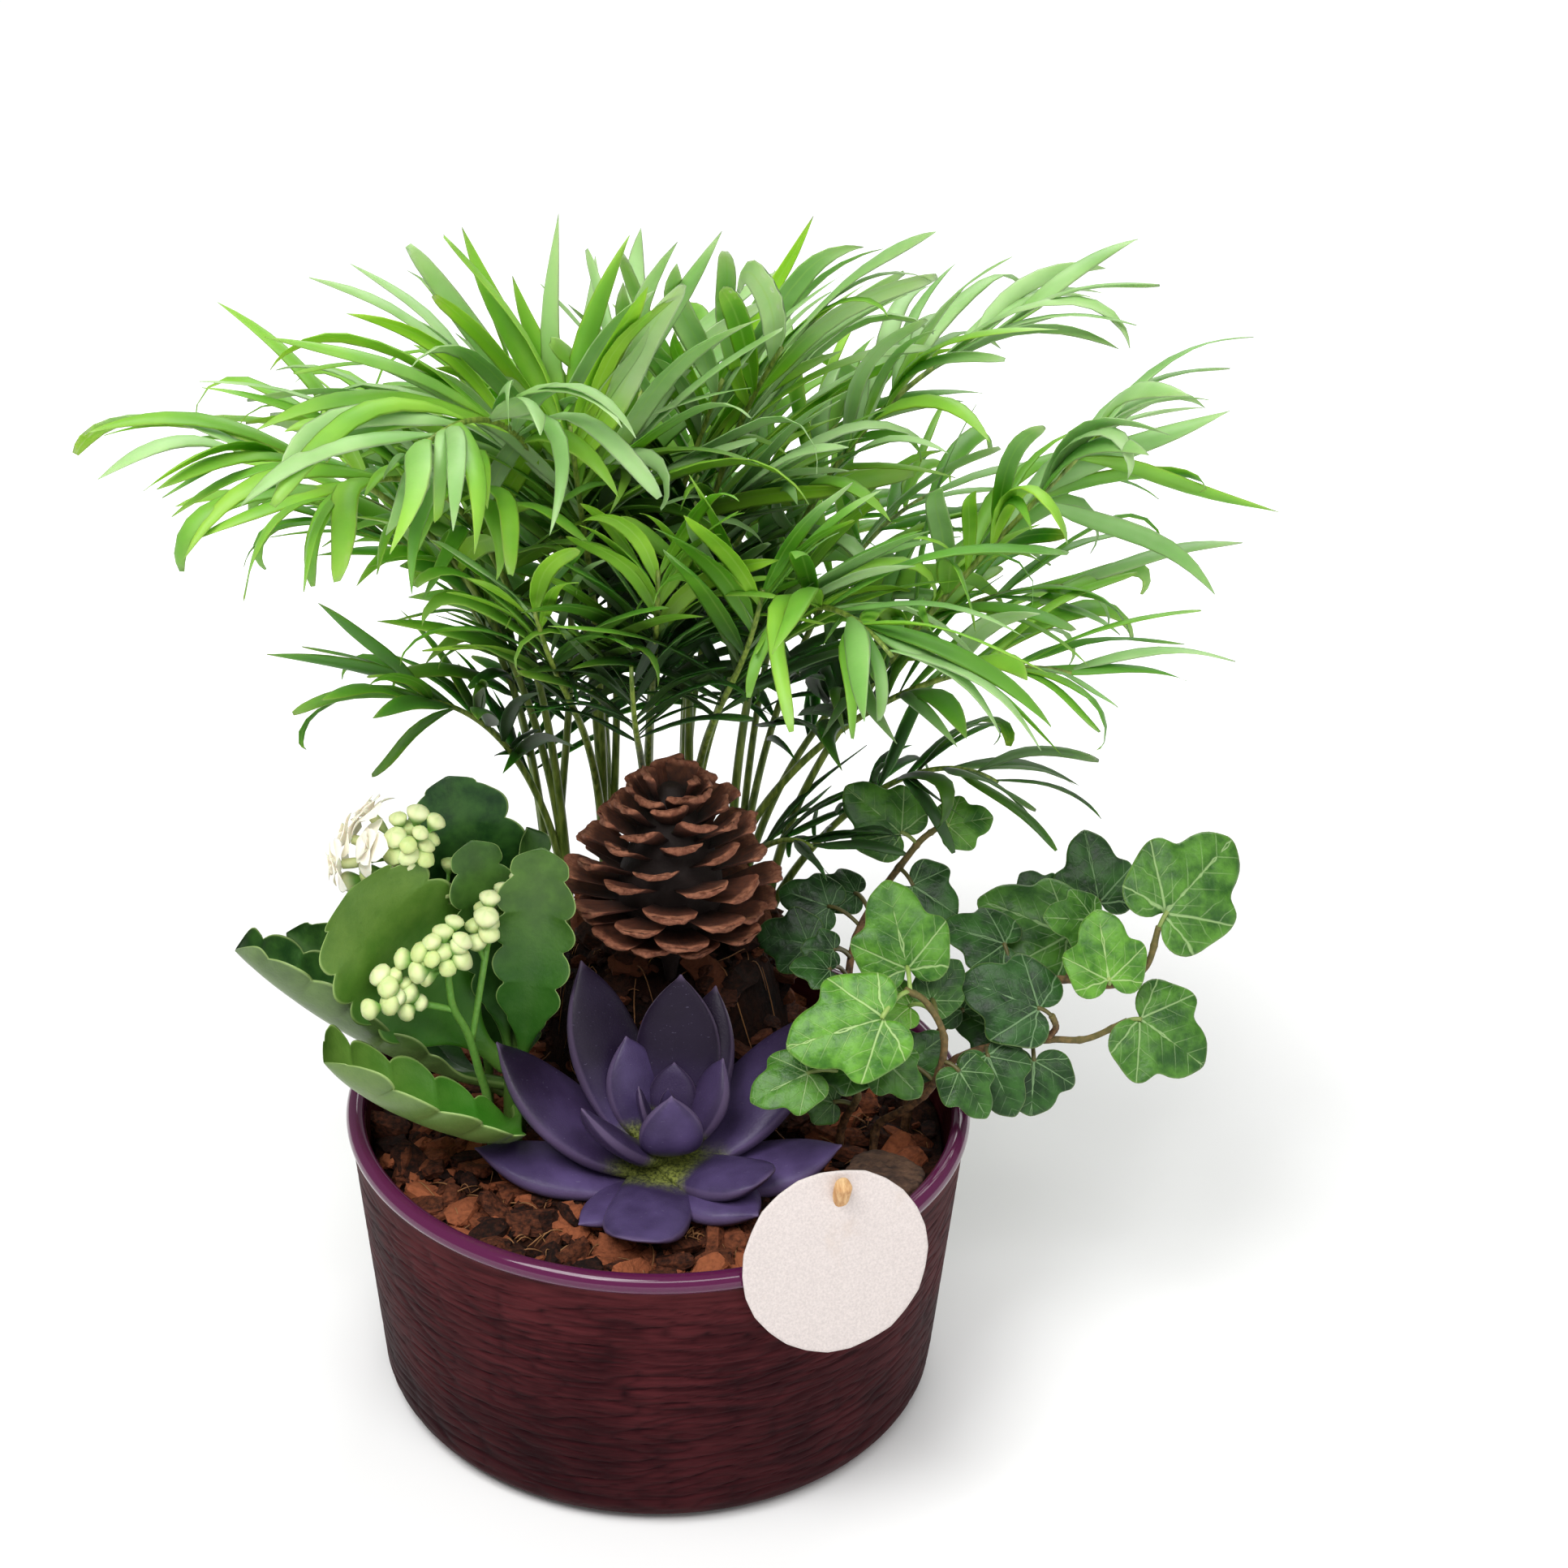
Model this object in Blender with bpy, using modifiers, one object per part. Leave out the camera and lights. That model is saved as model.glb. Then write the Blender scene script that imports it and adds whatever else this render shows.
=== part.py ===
"""A planted bowl: parlour palm, echeveria, kalanchoe, ivy and a pine cone in a round glazed pot.

The frame is in metres with +Z up. Its origin is the centre of the pot's flat underside, the
front of the planting faces -Y, and +X is to the right of someone who looks at it from there.
Positions in the tables below are in millimetres.
"""

from math import cos, pi, radians, sin, sqrt, tan
from random import Random

import bmesh
import bpy
import numpy as np
from mathutils.bvhtree import BVHTree

MM = 0.001

# Pot: a low bowl with a slight taper, a rounded lip and a rounded foot.
POT_RADIUS = 100 * MM
POT_HEIGHT = 99 * MM
POT_WALL = 5.5 * MM
POT_FLOOR = 6 * MM
POT_FOOT_RADIUS = 91 * MM
POT_FOOT_ROUND = 9 * MM
POT_LIP_HEIGHT = 6 * MM
POT_LIP_STEP = 0.8 * MM
POT_SIDES = 32

# Soil: fills the pot to below its lip and rises to the palm's root ball behind the cone.
SOIL_LEVEL = 84 * MM
SOIL_GAP = 0.5 * MM
SOIL_SIDES = 24
MOUND_CENTRE = (4 * MM, 51 * MM)
MOUND_SPREAD = (42 * MM, 47 * MM)
MOUND_RISE = 46 * MM
STEM_GAP = 0.4 * MM


def clear_scene():
    for obj in list(bpy.data.objects):
        bpy.data.objects.remove(obj)


clear_scene()
planter = bpy.data.collections.new("planted_bowl")
bpy.context.scene.collection.children.link(planter)


def finish(name, colour, roughness):
    """A plain Principled material."""
    material = bpy.data.materials.new(name)
    material.use_nodes = True
    shader = material.node_tree.nodes["Principled BSDF"]
    shader.inputs["Base Color"].default_value = (*colour, 1)
    shader.inputs["Roughness"].default_value = roughness
    return material


PLUM_GLAZE = finish("plum_glaze", (0.11, 0.025, 0.045), 0.42)
POTTING_MIX = finish("potting_mix", (0.09, 0.035, 0.02), 0.95)
BARK = finish("bark", (0.2, 0.08, 0.045), 0.9)
PALM_LEAF = finish("palm_leaf", (0.09, 0.28, 0.03), 0.5)
CONE_WOOD = finish("cone_wood", (0.2, 0.07, 0.035), 0.8)
PURPLE_PAINT = finish("purple_paint", (0.075, 0.05, 0.13), 0.5)
KALANCHOE_LEAF = finish("kalanchoe_leaf", (0.07, 0.2, 0.045), 0.45)
KALANCHOE_BUD = finish("kalanchoe_bud", (0.75, 0.82, 0.45), 0.5)
IVY_LEAF = finish("ivy_leaf", (0.06, 0.22, 0.04), 0.4)
PAPER = finish("paper", (0.85, 0.82, 0.8), 0.9)
PALE_WOOD = finish("pale_wood", (0.75, 0.5, 0.27), 0.8)


# Shapes and tests that more than one piece uses.

UP = np.array([0, 0, 1.0])


def unit(vector):
    """The same direction with length 1."""
    return np.asarray(vector) / np.linalg.norm(vector)


def turned(vector, axis, degrees):
    """vector turned about a unit axis by the right-hand rule."""
    angle = radians(degrees)
    along = axis * np.dot(axis, vector)
    return along + (vector - along) * cos(angle) + np.cross(axis, vector) * sin(angle)


def bezier(start, first, second, end, shares):
    """Points on a cubic curve from start to end, pulled towards first and second."""
    t = np.asarray(shares)[:, None]
    points = (1 - t) ** 3 * start + 3 * (1 - t) ** 2 * t * first
    return points + 3 * (1 - t) * t**2 * second + t**3 * end


def smooth_step(value):
    """0 below 0, 1 above 1, and a smooth S between."""
    value = min(1, max(0, value))
    return value * value * (3 - 2 * value)


def loft(rings):
    """Vertices and faces of a closed solid through rings of equal count, or a point at an end.

    The second half of each ring splits its quads the other way, so that the upper and the lower
    face of a thin blade are split alike.
    """
    points, faces, starts = [], [], []
    for ring in rings:
        starts.append(len(points))
        points += [tuple(point) for point in ring]
    sides = max(len(ring) for ring in rings)
    for low, high, first, second in zip(starts, starts[1:], rings, rings[1:]):
        for side in range(sides):
            after = (side + 1) % sides
            if len(first) == 1:
                faces.append((low, high + after, high + side))
            elif len(second) == 1:
                faces.append((low + side, low + after, high))
            elif side < sides / 2:
                faces.append((low + side, low + after, high + after))
                faces.append((low + side, high + after, high + side))
            else:
                faces.append((low + side, low + after, high + side))
                faces.append((low + after, high + after, high + side))
    if len(rings[0]) > 1:
        faces.append(tuple(reversed(range(sides))))
    if len(rings[-1]) > 1:
        faces.append(tuple(range(starts[-1], starts[-1] + sides)))
    return points, faces


def circle(centre, radius, across, up, sides):
    """Points of a ring round centre in the plane of two square directions."""
    turns = np.arange(sides) * 2 * pi / sides
    return [centre + radius * (cos(a) * across + sin(a) * up) for a in turns]


def tube(line, radii, sides):
    """A round tube along a line of points, with flat ends."""
    line = np.array(line)
    headings = np.gradient(line, axis=0)
    across = unit(np.cross(headings[0], (0.31, 0.95, 0.05)))
    rings = []
    for point, heading, radius in zip(line, headings, radii):
        heading = unit(heading)
        across = unit(across - heading * np.dot(across, heading))
        rings.append(circle(point, radius, across, np.cross(heading, across), sides))
    return loft(rings)


def mesh_object(name, points, faces, material=None, collection=planter):
    """An object of these faces, turned to point outwards."""
    mesh = bpy.data.meshes.new(name)
    mesh.from_pydata([tuple(point) for point in points], [], faces)
    shape = bmesh.new()
    shape.from_mesh(mesh)
    bmesh.ops.recalc_face_normals(shape, faces=shape.faces)
    shape.to_mesh(mesh)
    shape.free()
    if material:
        mesh.materials.append(material)
    obj = bpy.data.objects.new(name, mesh)
    collection.objects.link(obj)
    return obj


def evaluated_copy(obj):
    """A new mesh of the object as its modifiers leave it, in the object's own space."""
    graph = bpy.context.evaluated_depsgraph_get()
    return bpy.data.meshes.new_from_object(obj.evaluated_get(graph))


def combine(body, solids, operation):
    """Adds solids to body or cuts them from it, in one Boolean that is applied."""
    extras = bpy.data.collections.new(body.name + "_extras")
    bpy.context.scene.collection.children.link(extras)
    for number, (points, faces) in enumerate(solids):
        mesh_object(f"{body.name}_extra_{number}", points, faces, None, extras)
    boolean = body.modifiers.new(operation.lower(), "BOOLEAN")
    boolean.operation = operation
    boolean.operand_type = "COLLECTION"
    boolean.collection = extras
    boolean.solver = "MANIFOLD"
    material = body.data.materials[0]
    mesh = evaluated_copy(body)
    body.modifiers.clear()
    body.data = mesh
    mesh.materials.clear()
    mesh.materials.append(material)
    for obj in list(extras.objects):
        bpy.data.objects.remove(obj)
    bpy.data.collections.remove(extras)


def fuse(name, solids, material):
    """One object from overlapping closed solids, each a pair of points and faces."""
    body = mesh_object(name, *solids[0], material)
    combine(body, solids[1:], "UNION")
    return body


class Room:
    """The surfaces placed so far, and whether a new one would touch any but its owner's."""

    def __init__(self):
        self.trees = []
        self.owners = []
        self.lows = np.zeros((0, 3))
        self.highs = np.zeros((0, 3))

    def add(self, solid, owner):
        points, faces = np.array(solid[0]), solid[1]
        self.trees.append(BVHTree.FromPolygons(points.tolist(), faces))
        self.owners.append(owner)
        self.lows = np.vstack([self.lows, points.min(0)])
        self.highs = np.vstack([self.highs, points.max(0)])

    def add_object(self, obj):
        mesh = evaluated_copy(obj)
        points = [tuple(vertex.co) for vertex in mesh.vertices]
        self.add((points, [tuple(face.vertices) for face in mesh.polygons]), obj.name)

    def taken(self, solid, owner):
        points = np.array(solid[0])
        near = np.all((self.lows <= points.max(0)) & (self.highs >= points.min(0)), axis=1)
        near = [i for i in np.flatnonzero(near) if self.owners[i] != owner]
        if not near:
            return False
        tree = BVHTree.FromPolygons(points.tolist(), solid[1])
        return any(tree.overlap(self.trees[i]) for i in near)


def mound_share(x, y):
    """How much of the mound's rise there is here: 1 over the root ball, 0 away from it."""
    across, along = MOUND_SPREAD
    distance = sqrt(((x - MOUND_CENTRE[0]) / across) ** 2 + ((y - MOUND_CENTRE[1]) / along) ** 2)
    edge = smooth_step((0.99 - sqrt(x * x + y * y) / (93 * MM)) / 0.19)
    return (1 - smooth_step((distance - 0.7) / 0.4)) * edge


room = Room()
stem_holes = []


def stand_in_soil(x, y, radius, bottom):
    """Notes a plain round hole that the soil leaves for a stem whose lowest point is bottom."""
    stem_holes.append((x, y, radius + STEM_GAP, bottom - STEM_GAP))


# Pot: one turned piece of earthenware, closed at the foot and open at the top.


def arc(centre, radius, start, end, count):
    """Points on a circular arc in the X-Z plane, from one angle in degrees to another."""
    angles = np.radians(np.linspace(start, end, count))
    return [(centre[0] + radius * cos(a), centre[1] + radius * sin(a)) for a in angles]


def wall_radius(height):
    """Outside radius of the pot's tapering wall below its lip."""
    share = height / POT_HEIGHT
    return POT_FOOT_RADIUS + (POT_RADIUS - POT_LIP_STEP - POT_FOOT_RADIUS) * share


def make_pot():
    lip = POT_LIP_HEIGHT / 2
    foot = POT_FOOT_ROUND
    inner_foot = wall_radius(POT_FLOOR) - POT_WALL
    profile = [(0, POT_FLOOR), (inner_foot - 5 * MM, POT_FLOOR), (inner_foot, POT_FLOOR + 5 * MM)]
    profile += arc((POT_RADIUS - lip, POT_HEIGHT - lip), lip, 180, -60, 6)
    profile += arc((wall_radius(foot) - foot, foot), foot, 0, -90, 4)
    profile += [(0, 0)]
    mesh = bpy.data.meshes.new("pot")
    edges = [(i, i + 1) for i in range(len(profile) - 1)]
    mesh.from_pydata([(x, 0, z) for x, z in profile], edges, [])
    mesh.materials.append(PLUM_GLAZE)
    pot = bpy.data.objects.new("pot", mesh)
    planter.objects.link(pot)
    screw = pot.modifiers.new("turn", "SCREW")
    screw.steps = screw.render_steps = POT_SIDES
    screw.use_merge_vertices = True
    screw.merge_threshold = 0.00005
    screw.use_smooth_shade = True
    room.add_object(pot)


make_pot()


# Echeveria: one rosette of fleshy pointed leaves on a short stem.

ECHEVERIA_ROOT = (3, -33)
ECHEVERIA_FOOT = 91
ECHEVERIA_STEM_RADIUS = 6.5 * MM
FLESHY_THICKNESS = 7.5 * MM

# Each leaf: its tip, its width, how far its middle bows down, the height of its foot above the
# lowest leaf, and whether its end is blunt.
ECHEVERIA_LEAVES = [
    ((-57, -32, 98), 26, 5, 0, False),
    ((57, -32, 99), 26, 5, 0, False),
    ((-24, -62, 91), 17, 2, 0, False),
    ((30, -63, 95), 25, 2, 0, False),
    ((-50, -20, 129), 31, 7, 1, False),
    ((51, 0, 128), 30, 6, 1, False),
    ((18, -6, 141), 22, 5, 2, False),
    ((-24, -6, 150), 28, 6, 2, False),
    ((7, -11, 148), 29, 6, 4, False),
    ((-7, -78, 97), 27, 4, 4, True),
    ((33, -56, 104), 24, 4, 5, True),
    ((-23, -49, 124), 17, 4, 6, False),
    ((-10, -18, 130), 22, 5, 8, False),
    ((20, -26, 127), 17, 4, 8, False),
    ((5, -22, 123), 18, 3, 10, False),
    ((-6, -34, 122), 10, 2, 10, False),
    ((4, -44, 125), 22, 5, 8, False),
    ((3, -32, 120), 7, 1, 12, False),
]
# Shares along the leaf, with its width and thickness there as shares of the greatest.
POINTED_STATIONS = [(0, 0.4, 0.7), (0.36, 0.88, 1), (0.72, 0.88, 0.75)]
BLUNT_STATIONS = [(0, 0.45, 0.7), (0.45, 0.95, 1), (0.86, 0.82, 0.75)]
FLESHY_SECTION = [(-1, 0.16), (-0.5, -0.6), (0.5, -0.6), (1, 0.16), (0, 0.36)]


def fleshy_leaf(tip, width, bow, height, blunt):
    """A boat-shaped leaf: five-sided sections along a line that bows down in its middle."""
    foot = np.array([*ECHEVERIA_ROOT, ECHEVERIA_FOOT + height]) * MM
    tip = np.array(tip) * MM
    along = tip - foot
    heading = unit(along)
    across = unit(np.cross(heading, UP))
    normal = np.cross(across, heading)
    stations = BLUNT_STATIONS if blunt else POINTED_STATIONS
    sunk = normal * bow * 1.33 * MM
    line = bezier(foot, foot + along * 0.33 - sunk, tip - along * 0.33 - sunk, tip,
                  [share for share, _, _ in stations])
    rings = []
    for point, (_, wide, thick) in zip(line, stations):
        half, deep = width * MM / 2 * wide, FLESHY_THICKNESS * thick * min(1, width / 24)
        rings.append([point + x * half * across + z * deep * normal for x, z in FLESHY_SECTION])
    return loft([*rings, [tip]])


def make_echeveria():
    x, y = np.array(ECHEVERIA_ROOT) * MM
    bottom = SOIL_LEVEL - 18 * MM
    top = (ECHEVERIA_FOOT + 13) * MM
    radius = ECHEVERIA_STEM_RADIUS
    stem = [(x, y, bottom), (x, y, (bottom + top) / 2), (x, y, top)]
    solids = [tube(stem, [radius, radius, 3 * MM], 8)]
    solids += [fleshy_leaf(*leaf) for leaf in ECHEVERIA_LEAVES]
    room.add_object(fuse("echeveria_rosette", solids, PURPLE_PAINT))
    stand_in_soil(x, y, radius, bottom)


make_echeveria()


# Pine cone: woody scales in a spiral round a spindle, which ends below in its stalk.

CONE_AXIS = np.array([4, 20]) * MM
CONE_STALK_RADIUS = 3 * MM
CONE_SCALES = 42
GOLDEN_ANGLE = 137.508
# From the lowest scale to the highest: how far its tip reaches out, the height of its tip, the
# height where it leaves the spindle, and half its width.
CONE_REACH = [13, 23, 33, 35, 33, 29, 22, 14, 6]
CONE_TIPS = [147, 150, 155, 162, 172, 182, 192, 200, 206]
CONE_FEET = [150, 151, 154, 159, 165, 172, 180, 187, 193]
CONE_HALF_WIDTH = [8, 10, 11, 11, 10.5, 9.5, 8.5, 7, 5]


def cone_scale(number):
    """One scale: it widens from the spindle to a thick blunt plate."""
    place = (number + 0.5) / CONE_SCALES * (len(CONE_REACH) - 1)
    rows = range(len(CONE_REACH))
    reach, high, low, half = (
        np.interp(place, rows, row) * MM
        for row in (CONE_REACH, CONE_TIPS, CONE_FEET, CONE_HALF_WIDTH)
    )
    azimuth = radians(number * GOLDEN_ANGLE)
    out = np.array([cos(azimuth), sin(azimuth), 0])
    across = np.cross(UP, out)
    start = np.array([*CONE_AXIS, low])
    tip = start + out * reach + UP * (high - low)
    heading = unit(tip - start)
    normal = np.cross(heading, across)
    rings = [[start]]
    for share, wide, over, under in [(0.82, 1, 0.9, 2.4), (1, 0.68, 1, 1.7)]:
        centre = start + (tip - start) * share + normal * 2.2 * MM * (share**3 - 1)
        rings.append([
            centre - across * half * wide,
            centre - normal * under * MM,
            centre + across * half * wide,
            centre + normal * over * MM,
        ])
    return loft(rings)


def make_cone():
    x, y = CONE_AXIS
    bottom = 112 * MM
    stalk = CONE_STALK_RADIUS
    levels = np.array([112, 136, 146, 160, 180, 196]) * MM
    radii = [stalk, stalk, 9 * MM, 13 * MM, 9 * MM, 3 * MM]
    solids = [tube([(x, y, level) for level in levels], radii, 7)]
    solids += [cone_scale(number) for number in range(CONE_SCALES)]
    room.add_object(fuse("pine_cone", solids, CONE_WOOD))
    stand_in_soil(x, y, stalk, bottom)


make_cone()


# Kalanchoe: broad fleshy leaves with scalloped edges on one stem.

KALANCHOE_ROOT = (-46, -6)
KALANCHOE_STEM_RADIUS = 3.5 * MM
KALANCHOE_THICKNESS = 2.6 * MM

# Each leaf: foot, tip, width, fold of its halves and turn about its length in degrees, how far
# its middle bows, and where the line from its foot is drawn to first.
KALANCHOE_LEAVES = [
    ((-46, -9, 98), (-100, -44, 137), 40, 30, 0, 12, (34, -26, 0)),
    ((-48, -5, 104), (-130, -12, 157), 38, 34, 16, 7, (-4, 0, -4)),
    ((-48, -7, 112), (-92, -22, 184), 50, 8, -74, 5, (-8, 4, 0)),
    ((-46, -5, 111), (-65, 14, 204), 37, 8, -28, -4, (0, 24, 8)),
    ((-47, -4, 112), (-57, 0, 189), 23, 14, -48, -3, (-2, 4, 4)),
    ((-44, -7, 108), (-35, -7, 190), 26, 20, 85, -3, (2, 0, 4)),
    ((-47, -3, 99), (-120, 24, 143), 34, 24, 10, 8, (-2, 2, 0)),
    ((-44, -4, 110), (-41, 13, 187), 20, 22, 60, -5, (0, 8, 4)),
    ((-46, -2, 96), (-54, 46, 138), 34, 24, 0, 7, (0, 8, 0)),
]
# Outline: shares along the leaf and its half width there. It swells and dips in scallops.
KALANCHOE_OUTLINE = [
    (0, 0.12), (0.14, 0.2), (0.29, 0.74), (0.36, 0.71), (0.49, 1), (0.56, 0.9),
    (0.68, 0.97), (0.75, 0.82), (0.86, 0.76), (0.91, 0.6), (1, 0.26),
]


def kalanchoe_leaf(foot, tip, width, fold, turn, bow, drawn):
    """A thick blade of lens-shaped sections along a bowed line, folded along its middle."""
    foot, tip, drawn = np.array(foot) * MM, np.array(tip) * MM, np.array(drawn) * MM
    along = tip - foot
    heading = unit(along)
    across = turned(unit(np.cross(heading, UP)), heading, turn)
    normal = np.cross(across, heading)
    shares = [share for share, _ in KALANCHOE_OUTLINE]
    first = foot + along * 0.33 - normal * bow * MM + drawn
    line = bezier(foot, first, tip - along * 0.3 - normal * bow * MM, tip, shares)
    rings = []
    for point, (share, wide) in zip(line, KALANCHOE_OUTLINE):
        half = width * MM / 2 * wide
        thick = KALANCHOE_THICKNESS / 2 * (1.1 - 0.5 * share)
        lift = half * tan(radians(fold))
        rings.append([
            point - across * half + normal * lift,
            point - normal * thick,
            point + across * half + normal * lift,
            point + normal * thick,
        ])
    return loft(rings)


def make_kalanchoe():
    x, y = np.array(KALANCHOE_ROOT) * MM
    bottom = SOIL_LEVEL - 18 * MM
    levels = [bottom, SOIL_LEVEL + 8 * MM, 108 * MM, 118 * MM]
    radius = KALANCHOE_STEM_RADIUS
    solids = [tube([(x, y, level) for level in levels], [radius, radius, radius, 2 * MM], 6)]
    solids += [kalanchoe_leaf(*leaf) for leaf in KALANCHOE_LEAVES]
    room.add_object(fuse("kalanchoe_plant", solids, KALANCHOE_LEAF))
    stand_in_soil(x, y, radius, bottom)


make_kalanchoe()


# Kalanchoe flower heads: pale buds and open blooms at the ends of branching stalks. Each head
# stands on a stalk of its own beside the leafy stem.

BUD_RADIUS = 2.9 * MM
BUD_LENGTH = 6.6 * MM
PETAL_REACH = 8.5 * MM
STALK_RADIUS = 1.6 * MM

# Each head: the points its stalk passes from the soil up, then its groups of buds, then its
# open blooms. A group: where it leaves the stalk, where its buds part, and their tops.
FLOWER_HEADS = {
    "kalanchoe_flowers_front": (
        [
            (-53, -14, 88), (-54, -14, 105), (-56, -15, 115), (-59, -17, 130),
            (-63, -20, 142), (-64, -22, 156),
        ],
        [
            ((-64, -22, 155), (-65, -23, 160), [
                (-69, -24, 169), (-65, -20, 171), (-59, -24, 167), (-61, -18, 173),
                (-69, -28, 164), (-75, -28, 158), (-74, -25, 165), (-80, -23, 161),
            ]),
            ((-62, -19, 140), (-76, -25, 147), [
                (-86, -25, 158), (-83, -30, 156), (-89, -34, 149), (-83, -32, 150),
                (-78, -30, 145), (-78, -24, 154),
            ]),
            ((-58, -16, 127), (-52, -13, 162), [
                (-51, -12, 178), (-46, -3, 176), (-42, -1, 178), (-52, -17, 174),
                (-46, -4, 168), (-51, -18, 168), (-57, -14, 169),
            ]),
        ],
        [],
    ),
    "kalanchoe_flowers_back": (
        [
            (-55, 6, 88), (-55, 6, 105), (-58, 3, 124), (-64, -1, 145), (-70, -3, 165),
            (-76, -4, 180),
        ],
        [
            ((-76, -4, 179), (-76, -5, 186), [
                (-72, -4, 203), (-66, -5, 200), (-79, -5, 201), (-71, -10, 198),
                (-75, -13, 195), (-80, -10, 197), (-81, -11, 191), (-74, -10, 191),
                (-91, -7, 180), (-97, -4, 176), (-69, -8, 193),
            ]),
            ((-66, -1, 154), (-66, -1, 166), [(-64, 2, 182), (-66, -2, 175)]),
        ],
        [(-87, -1, 198), (-93, -3, 191), (-96, -8, 185), (-86, -9, 191)],
    ),
}


def bud(start, top):
    """A closed bud on its thin stalk: four-sided rings between two points."""
    line = unit(top - start)
    across = unit(np.cross(line, (0.3, 1, 0.2)))
    up = np.cross(line, across)
    base, belly = top - line * BUD_LENGTH, top - line * BUD_LENGTH * 0.45
    thin = circle(base, 1.3 * MM, across, up, 4)
    return loft([[start], thin, circle(belly, BUD_RADIUS, across, up, 4), [top]])


def bloom(centre, start):
    """An open flower: a thin tube that spreads into four flat petals."""
    line = unit(centre - start)
    across = unit(np.cross(line, (0.3, 1, 0.2)))
    up = np.cross(line, across)
    rings = [[start]]
    for back, wide, narrow in [(4 * MM, 1.2 * MM, 1.2 * MM), (0, PETAL_REACH, PETAL_REACH * 0.5)]:
        ring = []
        for number in range(8):
            reach = narrow if number % 2 else wide
            angle = number * pi / 4
            ring.append(centre - back * line + reach * (cos(angle) * across + sin(angle) * up))
        rings.append(ring)
    return loft([*rings, [centre + line * 1.2 * MM]])


def make_flower_heads():
    for name, (stalk, groups, blooms) in FLOWER_HEADS.items():
        x, y = np.array(stalk[0][:2]) * MM
        bottom = SOIL_LEVEL - 14 * MM
        stalk = np.vstack([[(x, y, bottom)], np.array(stalk) * MM])
        solids = [tube(stalk, np.linspace(STALK_RADIUS, 1.1 * MM, len(stalk)), 5)]
        for start, fork, tops in groups:
            start, fork = np.array(start) * MM, np.array(fork) * MM
            solids.append(tube([start, fork], [1.1 * MM, 1.1 * MM], 4))
            tops = sorted((np.array(top) * MM for top in tops), key=lambda top: top @ (start - fork))
            back = min(8 * MM, np.linalg.norm(fork - start) * 0.7) * unit(fork - start)
            spread = np.linspace(0.1, 1, len(tops))
            solids += [bud(fork - back * share, top) for share, top in zip(spread, tops)]
        solids += [bloom(np.array(centre) * MM, fork - back * 0.5) for centre in blooms]
        room.add_object(fuse(name, solids, KALANCHOE_BUD))
        stand_in_soil(x, y, STALK_RADIUS, bottom)


make_flower_heads()


# Ivy: thin woody stems with lobed leaves on short stalks. Each stem stands in its own hole.

IVY_STEM_RADIUS = 1.5 * MM
IVY_THICKNESS = 1.2 * MM
IVY_DOME = 0.09
# Half outline of a leaf from the notch at its stalk to its tip: across and along, as shares.
IVY_OUTLINE = [(0, 0.08), (0.32, -0.1), (0.42, 0.24), (0.5, 0.5), (0.25, 0.64), (0, 1)]

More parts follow.
